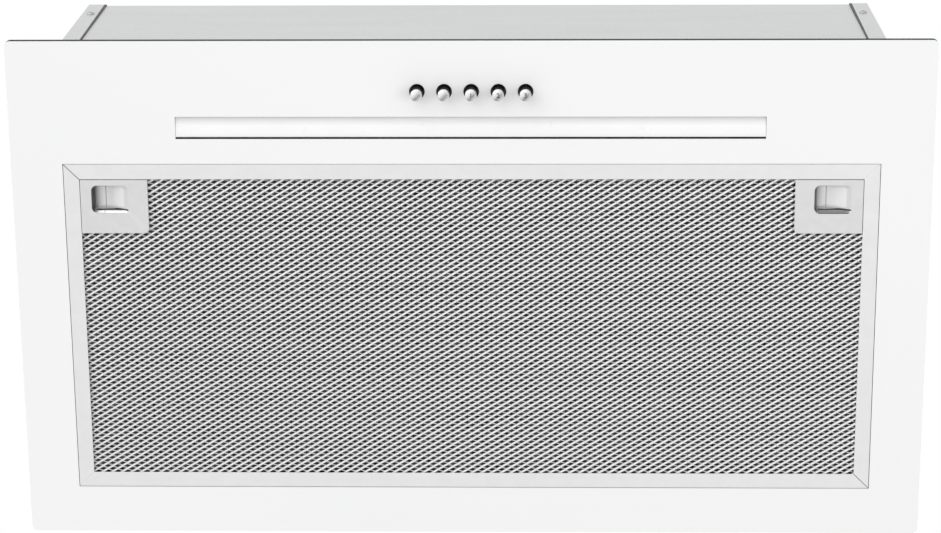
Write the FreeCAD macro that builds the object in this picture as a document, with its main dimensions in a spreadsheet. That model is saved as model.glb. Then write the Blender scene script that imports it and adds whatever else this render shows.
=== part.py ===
"""Range hood insert: a glass-faced extractor unit that hangs in a wall cabinet.

Frame: millimetres, +Z up, +X to the right of someone facing the hood, -Y towards that
person. The origin is the middle of the fascia, on its upper face, which is the plane
that closes against the underside of the cabinet.
"""
import FreeCAD, Part

import math
import os

import Sketcher
from FreeCAD import Placement, Rotation, Vector

doc = FreeCAD.newDocument("range_hood_insert")
sheet = doc.addObject("Spreadsheet::Sheet", "Sizes")
size_names = []
nodes = []

ALONG_X = Vector(1, 0, 0)
ALONG_Y = Vector(0, 1, 0)
ALONG_Z = Vector(0, 0, 1)


# ---------------------------------------------------------------- drawing helpers

def size(name, value):
    """Write one driving dimension into the sheet and return the text that names it."""
    size_names.append(name)
    row = len(size_names)
    sheet.set(f"A{row}", name)
    sheet.set(f"B{row}", str(value))
    sheet.setAlias(f"B{row}", name)
    sheet.recompute()
    return f"Sizes.{name}"


def number(expression):
    """The present value of an expression on the sheet."""
    return float(sheet.evalExpression(expression))


def block(name, x, y, z):
    """A box between a low and a high expression along each axis."""
    box = doc.addObject("Part::Box", name)
    for axis, side, (low, high) in zip("xyz", ("Length", "Width", "Height"), (x, y, z)):
        box.setExpression(f"Placement.Base.{axis}", low)
        box.setExpression(side, f"({high}) - ({low})")
    return box


def rod(name, radius, start, length, direction):
    """A cylinder from a start point, along a direction."""
    cylinder = doc.addObject("Part::Cylinder", name)
    cylinder.Placement = Placement(Vector(), Rotation(ALONG_Z, direction))
    for axis, place in zip("xyz", start):
        cylinder.setExpression(f"Placement.Base.{axis}", place)
    cylinder.setExpression("Radius", radius)
    cylinder.setExpression("Height", length)
    return cylinder


def joined(name, shapes):
    """Several shapes as one."""
    fuse = doc.addObject("Part::MultiFuse", name)
    fuse.Shapes = shapes
    fuse.Refine = True
    return fuse


def group(name, shapes):
    """Several separate solids kept together."""
    compound = doc.addObject("Part::Compound", name)
    compound.Links = shapes
    return compound


def without(name, base, tools):
    """A shape with one or more others cut away. A cutter reaches 1 mm past each face."""
    cut = doc.addObject("Part::Cut", name)
    cut.Base = base
    cut.Tool = tools[0] if len(tools) == 1 else group(name + "_cuts", tools)
    cut.Refine = True
    return cut


def node(piece):
    """Mark a finished piece, whose label is its node's name."""
    nodes.append(piece)
    return piece


def body_of(name):
    return doc.addObject("PartDesign::Body", name)


def sketch_in(body, name, plane, offset):
    """A sketch parallel to one of the body's own origin planes."""
    sketch = body.newObject("Sketcher::SketchObject", name)
    support = [item for item in body.Origin.OriginFeatures if item.Role == plane]
    sketch.AttachmentSupport = [(support[0], "")]
    sketch.MapMode = "FlatFace"
    sketch.setExpression("AttachmentOffset.Base.z", offset)
    return sketch


def pin_point(sketch, tag, geometry, point, place):
    """Tie one sketch point to a pair of expressions, as distances from the origin."""
    for kind, axis_line, expression in (("DistanceX", -2, place[0]), ("DistanceY", -1, place[1])):
        value = number(expression)
        if abs(value) < 1e-9:
            sketch.addConstraint(Sketcher.Constraint("PointOnObject", geometry, point, axis_line))
            continue
        ends = (-1, 1, geometry, point) if value > 0 else (geometry, point, -1, 1)
        index = sketch.addConstraint(Sketcher.Constraint(kind, *ends, abs(value)))
        label = f"{tag}_{kind}"
        sketch.renameConstraint(index, label)
        sign = "" if value > 0 else "-"
        sketch.setExpression(f"Constraints.{label}", f"{sign}({expression})")


def draw_corners(sketch, corners):
    """A closed outline of straight sides through the given corners."""
    points = [Vector(number(x), number(y), 0) for x, y in corners]
    count = len(points)
    for index, start in enumerate(points):
        sketch.addGeometry(Part.LineSegment(start, points[(index + 1) % count]), False)
    for index, place in enumerate(corners):
        before = (index - 1) % count
        sketch.addConstraint(Sketcher.Constraint("Coincident", before, 2, index, 1))
        pin_point(sketch, f"corner{index}", index, 1, place)


def draw_circle(sketch, centre, radius):
    """A circle at a pair of expressions."""
    middle = Vector(number(centre[0]), number(centre[1]), 0)
    index = sketch.addGeometry(Part.Circle(middle, ALONG_Z, number(radius)), False)
    pin_point(sketch, f"centre{index}", index, 3, centre)
    constraint = sketch.addConstraint(Sketcher.Constraint("Radius", index, number(radius)))
    sketch.renameConstraint(constraint, f"radius{index}")
    sketch.setExpression(f"Constraints.radius{index}", radius)


def prism(body, name, plane, span, draw, cut=False):
    """A pad, or a pocket if cut is set, between two places along a plane's axis."""
    low, high = span
    kind = "Pocket" if cut else "Pad"
    if plane == "XZ_Plane":
        offset = f"-({low})" if cut else f"-({high})"
    else:
        offset = high if cut else low
    sketch = sketch_in(body, f"{name}_sketch", plane, offset)
    draw(sketch)
    feature = body.newObject(f"PartDesign::{kind}", name)
    feature.Profile = sketch
    feature.setExpression("Length", f"({high}) - ({low})")
    sketch.Visibility = False
    body.Tip = feature
    return feature


def outline(*corners):
    return lambda sketch: draw_corners(sketch, corners)


def rectangle(x, y):
    return outline((x[0], y[0]), (x[1], y[0]), (x[1], y[1]), (x[0], y[1]))


def circle(centre, radius):
    return lambda sketch: draw_circle(sketch, centre, radius)


def turned(body, name, corners, axis="V_Axis"):
    """A solid of revolution of a half section drawn in the body's XZ plane."""
    sketch = sketch_in(body, f"{name}_sketch", "XZ_Plane", "0")
    draw_corners(sketch, corners)
    feature = body.newObject("PartDesign::Revolution", name)
    feature.Profile = sketch
    feature.ReferenceAxis = (sketch, [axis])
    feature.Angle = 360
    body.Tip = feature
    return feature


def place(piece, x, y, z, turn=0):
    """Set a piece down at three expressions, turned about the vertical."""
    piece.Placement = Placement(Vector(), Rotation(ALONG_Z, turn))
    for axis, expression in zip("xyz", (x, y, z)):
        piece.setExpression(f"Placement.Base.{axis}", expression)
    return piece


def span(side, near, far):
    """A range that runs outward from the middle on the given side, -1 or +1."""
    return (near, far) if side > 0 else (f"-({far})", f"-({near})")


def about(centre, half):
    """A range of the given half width about a centre."""
    return f"{centre} - {half}", f"{centre} + {half}"


# ------------------------------------------------------------ places shared by all

fascia_width = size("fascia_width", 520)
fascia_depth = size("fascia_depth", 295)
fascia_thickness = size("fascia_thickness", 4)
fascia_front = f"(-{fascia_depth} / 2)"
fascia_rear = f"({fascia_depth} / 2)"
fascia_face = f"(-{fascia_thickness})"

filter_side_margin = size("filter_side_margin", 29.4)
filter_front_margin = size("filter_front_margin", 71.3)
filter_rear_margin = size("filter_rear_margin", 28.2)
filter_thickness = size("filter_thickness", 10)
filter_gap = size("filter_gap", 0.5)
filter_width = f"({fascia_width} - 2 * {filter_side_margin})"
filter_depth = f"({fascia_depth} - {filter_front_margin} - {filter_rear_margin})"
filter_front = f"({fascia_front} + {filter_front_margin})"
filter_rear = f"({fascia_rear} - {filter_rear_margin})"
filter_left = f"(-{filter_width} / 2)"
filter_right = f"({filter_width} / 2)"
filter_top = f"({fascia_face} + {filter_thickness})"
opening_x = (f"{filter_left} - {filter_gap}", f"{filter_right} + {filter_gap}")
opening_y = (f"{filter_front} - {filter_gap}", f"{filter_rear} + {filter_gap}")

light_length = size("light_length", 332)
light_width = size("light_width", 12.8)
light_margin = size("light_margin", 50)
light_y = f"({fascia_front} + {light_margin})"
light_x = (f"-{light_length} / 2", f"{light_length} / 2")
light_slot_y = about(light_y, f"{light_width} / 2")

button_count = 5
button_pitch = size("button_pitch", 15.2)
button_margin = size("button_margin", 29.1)
button_row_shift = size("button_row_shift", 0.9)
button_hole_radius = size("button_hole_radius", 4.4)
button_y = f"({fascia_front} + {button_margin})"
button_places = [
    f"({button_row_shift} + {index - (button_count - 1) / 2} * {button_pitch})"
    for index in range(button_count)
]

tray_thickness = size("tray_thickness", 1)
housing_height = size("housing_height", 166)
housing_setback = size("housing_setback", 15)
housing_side_setback = size("housing_side_setback", 20)
sheet_metal = size("sheet_metal", 0.8)
housing_right = f"({fascia_width} / 2 - {housing_side_setback})"
housing_left = f"(-{housing_right})"
housing_front = f"({fascia_front} + {housing_setback})"
housing_rear = f"({fascia_rear} - {housing_setback})"
ceiling = f"({housing_height} - {sheet_metal})"

piece_gap = size("piece_gap", 0.3)


# ----------------------------------------------------------------- glass fascia
# Toughened glass, painted white on its back and bonded to the tray. It has one
# opening for the filter, a slot for the light and a row of holes for the buttons.

fascia_corner = size("fascia_corner", 3)


def upright_edges(shape):
    """Names of the straight vertical edges of a shape."""
    names = []
    for index, edge in enumerate(shape.Edges, start=1):
        run = edge.Vertexes[-1].Point - edge.Vertexes[0].Point
        if abs(run.z) > 1e-6 and math.hypot(run.x, run.y) < 1e-6:
            names.append(f"Edge{index}")
    return names


def make_fascia():
    body = body_of("fascia_panel")
    sheet_x = (f"-{fascia_width} / 2", f"{fascia_width} / 2")
    plate = prism(body, "glass_plate", "XY_Plane", (fascia_face, "0"),
                  rectangle(sheet_x, (fascia_front, fascia_rear)))
    doc.recompute()
    corners = body.newObject("PartDesign::Fillet", "glass_corners")
    corners.Base = (plate, upright_edges(plate.Shape))
    corners.setExpression("Radius", fascia_corner)
    body.Tip = corners
    through = (f"{fascia_face} - 1", "1")
    prism(body, "filter_opening", "XY_Plane", through, rectangle(opening_x, opening_y), cut=True)
    prism(body, "light_slot", "XY_Plane", through, rectangle(light_x, light_slot_y), cut=True)
    hole = prism(body, "button_hole", "XY_Plane", through,
                 circle((button_places[0], button_y), button_hole_radius), cut=True)
    row = body.newObject("PartDesign::LinearPattern", "button_holes")
    row.Originals = [hole]
    row.Direction = (hole.Profile[0], ["H_Axis"])
    row.setExpression("Length", f"{button_count - 1} * {button_pitch}")
    row.Occurrences = button_count
    body.Tip = row
    return node(body)


# ---------------------------------------------------- steel tray and filter seat
# Painted steel sheet on the back of the glass. The seat round the filter is spot
# welded on it: a plain strip with the keeper slots along the front, and a lipped
# strip, with slots for the rear hooks, round the other three sides.

seat_wall = size("seat_wall", 1)
seat_lip = size("seat_lip", 6)
seat_top = f"({filter_top} + {piece_gap})"
tongue_width = size("latch_tongue_width", 14)
tongue_thickness = size("latch_tongue_thickness", 1.2)
tongue_height = size("latch_tongue_height", 6)
tongue_low = f"({fascia_face} + {tongue_height})"
tongue_inset = size("latch_tongue_inset", 24)
hook_width = size("rear_hook_width", 20)
hook_reach = size("rear_hook_reach", 5)
hook_thickness = size("rear_hook_thickness", 1)
hook_spacing = size("rear_hook_spacing", 300)
hook_low = tongue_low
slot_side_play = size("slot_side_play", 0.5)
slot_low_play = size("slot_low_play", 0.4)
slot_high_play = size("slot_high_play", 0.6)
hook_swing_room = size("hook_swing_room", 1.2)


def tongue_centre(side):
    """Middle of a latch tongue, measured in from the filter's outer edge."""
    return f"({side} * ({filter_width} / 2 - {tongue_inset}))"


def slots_for(name, centre, width, wall_y, low, thickness):
    """A clearance block for a tongue or hook that reaches through a wall."""
    return block(name, about(centre, f"({width} / 2 + {slot_side_play})"), wall_y,
                 (f"{low} - {slot_low_play}", f"{low} + {thickness} + {slot_high_play}"))


def make_tray():
    plate = block("tray_plate", (housing_left, housing_right), (housing_front, housing_rear),
                  ("0", tray_thickness))
    through = ("-1", f"{tray_thickness} + 1")
    cuts = [block("tray_opening", opening_x, opening_y, through),
            block("tray_light_slot", light_x, light_slot_y, through)]
    for index, centre in enumerate(button_places, start=1):
        cuts.append(rod(f"tray_button_hole_{index}", button_hole_radius, (centre, button_y, "-1"),
                        f"{tray_thickness} + 2", ALONG_Z))
    return node(without("base_tray", plate, cuts))


def make_filter_seat():
    outer_x = (f"{opening_x[0]} - {seat_wall}", f"{opening_x[1]} + {seat_wall}")
    front_y = (f"{opening_y[0]} - {seat_wall}", opening_y[0])
    rear_y = (opening_y[1], f"{opening_y[1]} + {seat_wall}")
    seat_z = (tray_thickness, f"{seat_top} + {seat_wall}")
    past_wall = (f"{rear_y[0]} - 1", f"{rear_y[1]} + 1")
    strip = block("seat_front_strip", outer_x, front_y, seat_z)
    keepers = [slots_for(f"keeper_{side + 1}", tongue_centre(side), tongue_width,
                         (f"{front_y[0]} - 1", f"{front_y[1]} + 1"), tongue_low, tongue_thickness)
               for side in (-1, 1)]
    node(without("filter_seat_front", strip, keepers))
    rim = block("seat_rim_block", outer_x, (front_y[1], rear_y[1]), seat_z)
    cuts = [block("seat_hollow", opening_x, (f"{front_y[1]} - 1", rear_y[0]), ("0", seat_top)),
            block("seat_air_way", (f"{filter_left} + {seat_lip}", f"{filter_right} - {seat_lip}"),
                  (f"{front_y[1]} - 1", f"{filter_rear} - {seat_lip}"),
                  ("0", f"{seat_top} + 2 * {seat_wall}"))]
    for side in (-1, 1):
        cuts.append(slots_for(f"hook_slot_{side + 1}", f"({side} * {hook_spacing} / 2)", hook_width,
                              past_wall, hook_low, f"({hook_thickness} + {hook_swing_room})"))
    return node(without("filter_seat_rim", rim, cuts))


# ---------------------------------------------------------------------- housing
# Galvanised sheet. Each side is folded in at the front and the rear, and the front
# and rear plates screw on behind those flanges. The top plate closes the box.

flange_width = size("flange_width", 11)
housing_screw_height = size("housing_screw_height", 138)
housing_screw_radius = size("housing_screw_radius", 1.5)
wall_hole_radius = size("wall_hole_radius", 2.5)
wall_hole_spacing = size("wall_hole_spacing", 150)
wall_hole_height = size("wall_hole_height", 60)
top_fold = size("top_plate_fold", 12)
wall_z = (tray_thickness, housing_height)
inside_x = (f"{housing_left} + {sheet_metal}", f"{housing_right} - {sheet_metal}")
inside_y = (f"{housing_front} + 2 * {sheet_metal}", f"{housing_rear} - 2 * {sheet_metal}")


def housing_screw_place(side):
    return f"({side} * ({housing_right} - {flange_width} / 2))"


def screw_hole(name, side, radius, wall_y):
    low, high = wall_y
    start = (housing_screw_place(side), f"{low} - 1", housing_screw_height)
    return rod(name, radius, start, f"({high}) - ({low}) + 2", ALONG_Y)


def make_housing_side(name, side):
    wall_x = span(side, f"{housing_right} - {sheet_metal}", housing_right)
    flange_x = span(side, f"{housing_right} - {flange_width}", housing_right)
    front_y = (housing_front, f"{housing_front} + {sheet_metal}")
    rear_y = (f"{housing_rear} - {sheet_metal}", housing_rear)
    folded = joined(f"{name}_folded", [
        block(f"{name}_wall", wall_x, (housing_front, housing_rear), wall_z),
        block(f"{name}_front_flange", flange_x, front_y, wall_z),
        block(f"{name}_rear_flange", flange_x, rear_y, wall_z),
    ])
    holes = [screw_hole(f"{name}_front_hole", side, housing_screw_radius, front_y),
             screw_hole(f"{name}_rear_hole", side, housing_screw_radius, rear_y)]
    for end in (-1, 1):
        start = (f"{wall_x[0]} - 1", f"({end} * {wall_hole_spacing} / 2)", wall_hole_height)
        holes.append(rod(f"{name}_wall_hole_{end + 1}", wall_hole_radius, start,
                         f"{sheet_metal} + 2", ALONG_X))
    return node(without(name, folded, holes))


def make_housing_end(name, wall_y):
    plate = block(f"{name}_sheet", inside_x, wall_y, wall_z)
    holes = [screw_hole(f"{name}_hole_{side + 1}", side, housing_screw_radius, wall_y)
             for side in (-1, 1)]
    return node(without(name, plate, holes))


def pan_screw(name, radius, start, length, direction, head_radius, head_height):
    """A screw whose shank starts at a point, with its head beyond the far end."""
    shank = rod(f"{name}_shank", radius, start, length, direction)
    head_start = [f"{low} + ({step}) * ({length})"
                  for low, step in zip(start, (direction.x, direction.y, direction.z))]
    head = rod(f"{name}_head", head_radius, head_start, head_height, direction)
    return joined(name, [shank, head])


housing_head_radius = size("housing_screw_head_radius", 2.3)
housing_head_height = size("housing_screw_head_height", 1.4)
housing_screw_reach = size("housing_screw_reach", 6)
pan_radius = size("pan_head_radius", 3.2)
pan_height = size("pan_head_height", 2)


def make_housing_screws():
    screws = []
    for side in (-1, 1):
        front = (housing_screw_place(side), f"{housing_front} + {housing_screw_reach}",
                 housing_screw_height)
        rear = (housing_screw_place(side), f"{housing_rear} - {housing_screw_reach}",
                housing_screw_height)
        screws.append(pan_screw(f"front_screw_{side + 1}", housing_screw_radius, front,
                                housing_screw_reach, -ALONG_Y, housing_head_radius,
                                housing_head_height))
        screws.append(pan_screw(f"rear_screw_{side + 1}", housing_screw_radius, rear,
                                housing_screw_reach, ALONG_Y, housing_head_radius,
                                housing_head_height))
    return node(group("housing_screws", screws))


# ------------------------------------------------------ places of the blower unit
# A double inlet wheel turns about an axis along X in a two part scroll. The scroll
# blows straight up through the top plate, and its outlet is centred on the hood.

collar_radius = size("collar_radius", 74.5)
outlet_side_margin = size("outlet_side_margin", 12.5)
scroll_width = f"(2 * ({collar_radius} - {outlet_side_margin}))"
wheel_radius = size("wheel_radius", 46)
wheel_end_gap = size("wheel_end_gap", 6)
wheel_length = f"({scroll_width} - 2 * {wheel_end_gap})"
scroll_radius = size("scroll_radius", 52)
scroll_step = size("scroll_step", 5)
scroll_wall = size("scroll_wall", 2)
scroll_drop = size("scroll_axis_drop", 65)
inlet_radius = size("scroll_inlet_radius", 42)
scroll_flange = size("scroll_flange", 12)
outlet_front = f"(-{scroll_step} / 2)"
outlet_rear = f"({scroll_radius} + 2.5 * {scroll_step})"
axis_y = f"(-({outlet_front} + {outlet_rear}) / 2)"
axis_z = f"({ceiling} - {scroll_drop})"
outlet_half_depth = f"(({outlet_rear} - {outlet_front}) / 2)"
outlet_half_width = f"({scroll_width} / 2 - {scroll_wall})"

outlet_screw_radius = size("outlet_screw_radius", 1.8)
outlet_screw_tip = size("outlet_screw_tip", 3)
gland_side_margin = size("gland_side_margin", 60)
gland_rear_margin = size("gland_rear_margin", 37.5)
gland_x = f"({housing_right} - {gland_side_margin})"
gland_y = f"({housing_rear} - {gland_rear_margin})"
gland_thread_radius = size("gland_thread_radius", 6)


def flange_corners():
    """Places of the screws that hold the collar, the top plate and the scroll together."""
    half = f"{scroll_flange} / 2"
    return [(f"({sx} * ({scroll_width} / 2 + {half}))",
             f"({sy} * ({outlet_half_depth} + {scroll_wall} + {half}))")
            for sx in (-1, 1) for sy in (-1, 1)]


def upright_rods(name, radius, places, low, length):
    return [rod(f"{name}_{index}", radius, (x, y, low), length, ALONG_Z)
            for index, (x, y) in enumerate(places, start=1)]


def make_top_plate():
    sheet_z = (ceiling, housing_height)
    fold_z = (f"{housing_height} - {top_fold}", housing_height)
    front_y = (inside_y[0], f"{inside_y[0]} + {sheet_metal}")
    rear_y = (f"{inside_y[1]} - {sheet_metal}", inside_y[1])
    top = block("top_sheet", inside_x, inside_y, sheet_z)
    front_fold = block("top_front_fold", inside_x, front_y, fold_z)
    rear_fold = block("top_rear_fold", inside_x, rear_y, fold_z)
    folded = joined("top_folded", [top, front_fold, rear_fold])
    low = f"{ceiling} - 1"
    depth = f"{sheet_metal} + 2"
    cuts = [block("top_outlet", (f"-{outlet_half_width}", outlet_half_width),
                  (f"-{outlet_half_depth}", outlet_half_depth), (low, f"{housing_height} + 1"))]
    cuts += upright_rods("top_screw_hole", outlet_screw_radius, flange_corners(), low, depth)
    cuts += upright_rods("top_gland_hole", gland_thread_radius, [(gland_x, gland_y)], low, depth)
    for side in (-1, 1):
        cuts.append(screw_hole(f"top_front_hole_{side + 1}", side, housing_screw_radius, front_y))
        cuts.append(screw_hole(f"top_rear_hole_{side + 1}", side, housing_screw_radius, rear_y))
    return node(without("housing_top_plate", folded, cuts))


# ---------------------------------------------------------------- outlet collar
# Moulded spigot for a 150 mm duct, with a flange on the top plate. Two half round
# flaps hang on one pin across it and fall shut on a ledge when the blower stops.

collar_wall = size("collar_wall", 1.5)
collar_height = size("collar_height", 36)
collar_flange_width = size("collar_flange_width", 13.5)
collar_flange_thickness = size("collar_flange_thickness", 1.5)
ledge_width = size("flap_ledge_width", 3.5)
ledge_thickness = size("flap_ledge_thickness", 1.2)
flap_pin_height = size("flap_pin_height", 5.5)
flap_pin_radius = size("flap_pin_radius", 1.5)
flap_thickness = size("flap_thickness", 1)
flap_clearance = size("flap_clearance", 1)
flap_sleeve_radius = size("flap_sleeve_radius", 2.6)
flap_sleeve_length = size("flap_sleeve_length", 30)
flap_sleeve_gap = size("flap_sleeve_gap", 0.6)
flap_sleeve_end_gap = size("flap_sleeve_end_gap", 0.2)
pin_clearance = size("pin_clearance", 0.06)
collar_bore = f"({collar_radius} - {collar_wall})"
collar_flange_radius = f"({collar_radius} + {collar_flange_width})"
flap_radius = f"({collar_bore} - {flap_clearance})"
flap_pin_z = f"({housing_height} + {flap_pin_height})"
flap_z = about(flap_pin_z, f"{flap_thickness} / 2")
ledge_top = f"({flap_pin_height} - {flap_thickness} / 2 - {piece_gap})"


def make_collar():
    body = body_of("collar_moulding")
    ledge_low = f"({ledge_top} - {ledge_thickness})"
    ledge_bore = f"({collar_bore} - {ledge_width})"
    turned(body, "collar_section", [
        (collar_bore, "0"),
        (collar_flange_radius, "0"),
        (collar_flange_radius, collar_flange_thickness),
        (collar_radius, collar_flange_thickness),
        (collar_radius, collar_height),
        (collar_bore, collar_height),
        (collar_bore, ledge_top),
        (ledge_bore, ledge_top),
        (ledge_bore, ledge_low),
        (collar_bore, ledge_low),
    ])
    place(body, "0", "0", housing_height)
    holes = upright_rods("collar_hole", outlet_screw_radius, flange_corners(),
                         f"{housing_height} - 1", f"{collar_flange_thickness} + 2")
    holes.append(rod("collar_pin_hole", flap_pin_radius,
                     (f"-{collar_flange_radius}", "0", flap_pin_z),
                     f"2 * {collar_flange_radius}", ALONG_X))
    return node(without("outlet_collar", body, holes))


def make_outlet_screws():
    """Each goes down through the collar, the top plate and the scroll's flange."""
    top = f"({housing_height} + {collar_flange_thickness})"
    length = f"({top} - {ceiling} + {scroll_wall} + {outlet_screw_tip})"
    screws = [pan_screw(f"outlet_screw_{index}", outlet_screw_radius,
                        (x, y, f"{top} - {length}"), length, ALONG_Z, pan_radius, pan_height)
              for index, (x, y) in enumerate(flange_corners(), start=1)]
    return node(group("outlet_screws", screws))


def make_flap_pin():
    pin = rod("flap_pin", flap_pin_radius, (f"-{collar_radius}", "0", flap_pin_z),
              f"2 * {collar_radius}", ALONG_X)
    return node(pin)


def make_flap(name, side):
    """A half disc with two sleeves on the pin; the other flap is turned half round."""
    bare = f"({flap_sleeve_radius} + {flap_sleeve_gap})"
    disc = rod(f"{name}_disc", flap_radius, ("0", "0", flap_z[0]), flap_thickness, ALONG_Z)
    other_half = block(f"{name}_other_half", (f"-{collar_radius}", collar_radius),
                       span(side, f"-{collar_radius}", bare),
                       (f"{flap_z[0]} - 1", f"{flap_z[1]} + 1"))
    shapes = [without(f"{name}_plate", disc, [other_half])]
    for step in (-2, 0):
        low = f"({step} * {flap_sleeve_length} + {flap_sleeve_end_gap})"
        high = f"({step + 1} * {flap_sleeve_length} - {flap_sleeve_end_gap})"
        x = span(side, low, high)
        tab_y = span(side, f"{flap_pin_radius} + {piece_gap}", f"{bare} + {flap_thickness}")
        shapes.append(rod(f"{name}_sleeve_{step + 2}", flap_sleeve_radius,
                          (x[0], "0", flap_pin_z), f"{high} - {low}", ALONG_X))
        shapes.append(block(f"{name}_tab_{step + 2}", x, tab_y, flap_z))
    bore = rod(f"{name}_bore", f"{flap_pin_radius} + {pin_clearance}",
               (f"-{collar_radius}", "0", flap_pin_z), f"2 * {collar_radius}", ALONG_X)
    return node(without(name, joined(f"{name}_blank", shapes), [bore]))


# ------------------------------------------------------------------ scroll shells
# Two moulded halves that meet on the hood's centre line. Each holds half of the
# spiral, an inlet with a round mouth and half of the flange below the top plate.

def volute(grow, top):
    """Draw the spiral of three quarter turns and its neck, grown by a wall thickness."""
    half = f"({scroll_step} / 2)"
    radii = [f"({scroll_radius} + {turn} * {scroll_step} + {grow})" for turn in range(3)]
    centres = [(f"(-{half})", f"(-{half})"), (half, f"(-{half})"), (half, half)]
    neck_front = f"(-{half} - {grow})"
    neck_rear = f"({half} + {radii[2]})"
    corners = [
        (neck_front, f"(sqrt({radii[0]}^2 - {grow}^2) - {half})"),
        (f"(-{half} - {radii[0]})", f"(-{half})"),
        (half, f"(-{half} - {radii[1]})"),
        (neck_rear, half),
        (neck_rear, top),
        (neck_front, top),
    ]

    def draw(sketch):
        points = [Vector(number(y), number(z), 0) for y, z in corners]
        for index, (centre, radius) in enumerate(zip(centres, radii)):
            middle = Vector(number(centre[0]), number(centre[1]), 0)
            ring = Part.Circle(middle, ALONG_Z, number(radius))
            first, last = [math.atan2(end.y - middle.y, end.x - middle.x) % (2 * math.pi)
                           for end in (points[index], points[index + 1])]
            if last < first:
                last += 2 * math.pi
            sketch.addGeometry(Part.ArcOfCircle(ring, first, last), False)
            fixed = sketch.addConstraint(Sketcher.Constraint("Radius", index, number(radius)))
            sketch.renameConstraint(fixed, f"radius{index}")
            sketch.setExpression(f"Constraints.radius{index}", radius)
        for index in range(len(radii), len(points)):
            following = points[(index + 1) % len(points)]
            sketch.addGeometry(Part.LineSegment(points[index], following), False)
        for index, corner in enumerate(corners):
            before = (index - 1) % len(corners)
            sketch.addConstraint(Sketcher.Constraint("Coincident", before, 2, index, 1))
            pin_point(sketch, f"corner{index}", index, 1, corner)

    return draw


def make_scroll_shell(name, side):
    body = body_of(f"{name}_moulding")
    half = f"{scroll_width} / 2"
    outer = span(side, "0", half)
    inner = span(side, "-1", f"{half} - {scroll_wall}")
    prism(body, f"{name}_outside", "YZ_Plane", outer,
          volute(scroll_wall, scroll_drop))
    flange_y = (f"{outlet_front} - {scroll_wall} - {scroll_flange}",
                f"{outlet_rear} + {scroll_wall} + {scroll_flange}")
    prism(body, f"{name}_flange", "YZ_Plane", span(side, "0", f"{half} + {scroll_flange}"),
          rectangle(flange_y, (f"{scroll_drop} - {scroll_wall}", scroll_drop)))
    prism(body, f"{name}_inside", "YZ_Plane", inner,
          volute("0", f"({scroll_drop} + 1)"), cut=True)
    prism(body, f"{name}_inlet", "YZ_Plane", span(side, "1", f"{half} + 1"),
          circle(("0", "0"), inlet_radius), cut=True)
    place(body, "0", axis_y, axis_z)
    holes = upright_rods(f"{name}_screw_hole", outlet_screw_radius, flange_corners(),
                         f"{ceiling} - {scroll_wall} - 1", f"{scroll_wall} + 2")
    if side > 0:
        holes += motor_screw_rods(f"{name}_motor_hole", f"{half} - {scroll_wall} - 1",
                                  f"{scroll_wall} + 2")
    return node(without(name, body, holes))


# ------------------------------------------------------------- motor, shaft, wheel
# A capacitor motor reaches into the right inlet on a three armed bracket, with a
# rubber grommet under each arm, and carries the wheel on its shaft. The wheel is
# of zinc coated sheet: a disc on a hub, and blades crimped to it and to two rings.

motor_radius = size("motor_radius", 29)
motor_start = size("motor_start", 10)
motor_tail = size("motor_tail", 11)
motor_neck_radius = size("motor_neck_radius", 12)
motor_front_neck = size("motor_front_neck", 4)
motor_rear_neck = size("motor_rear_neck", 5)
shaft_radius = size("shaft_radius", 4)
shaft_clearance = size("shaft_clearance", 0.05)
shaft_setback = size("shaft_setback", 2)
hub_radius = size("wheel_hub_radius", 9)
hub_half_length = size("wheel_hub_half_length", 8)
bracket_thickness = size("bracket_thickness", 1.5)
bracket_ring = size("bracket_ring_width", 5)
bracket_arm_width = size("bracket_arm_width", 12)
grommet_radius = size("grommet_radius", 5)
grommet_thickness = size("grommet_thickness", 3)
mount_circle = size("motor_mount_circle", 48.5)
motor_screw_radius = size("motor_screw_radius", 1.8)
bracket_x = f"({scroll_width} / 2 + {grommet_thickness})"
motor_end = f"({bracket_x} + {motor_tail})"
arm_angles = (90, 210, 330)


def arm_point(angle, radius):
    """A place on a circle about the blower axis."""
    return f"({axis_y} + {radius} * cos({angle}))", f"({axis_z} + {radius} * sin({angle}))"


def motor_screw_rods(name, low, length):
    return [rod(f"{name}_{angle}", motor_screw_radius, (low, *arm_point(angle, mount_circle)),
                length, ALONG_X)
            for angle in arm_angles]


def make_motor():
    body = body_of("motor")
    bore = f"({shaft_radius} + {shaft_clearance})"
    turned(body, "motor_section", [
        (motor_start, bore),
        (motor_start, motor_neck_radius),
        (f"({motor_start} + {motor_front_neck})", motor_neck_radius),
        (f"({motor_start} + {motor_front_neck})", motor_radius),
        (f"({motor_end} - {motor_rear_neck})", motor_radius),
        (f"({motor_end} - {motor_rear_neck})", motor_neck_radius),
        (motor_end, motor_neck_radius),
        (motor_end, bore),
    ], axis="H_Axis")
    place(body, "0", axis_y, axis_z)
    return node(body)


def make_shaft():
    end = f"{motor_end} - {shaft_setback}"
    return node(rod("motor_shaft", shaft_radius, (f"-{hub_half_length}", axis_y, axis_z),
                    f"{hub_half_length} + {end}", ALONG_X))


blade_count = 30
blade_lean = 25
blade_depth = size("blade_depth", 9)
blade_thickness = size("blade_thickness", 0.8)
blade_root_radius = size("blade_root_radius", 37)
wheel_disc = size("wheel_disc", 1.6)
wheel_ring = size("wheel_ring_thickness", 2)
wheel_ring_lip = size("wheel_ring_lip", 0.5)
wheel_ring_depth = size("wheel_ring_depth", 2)


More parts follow.
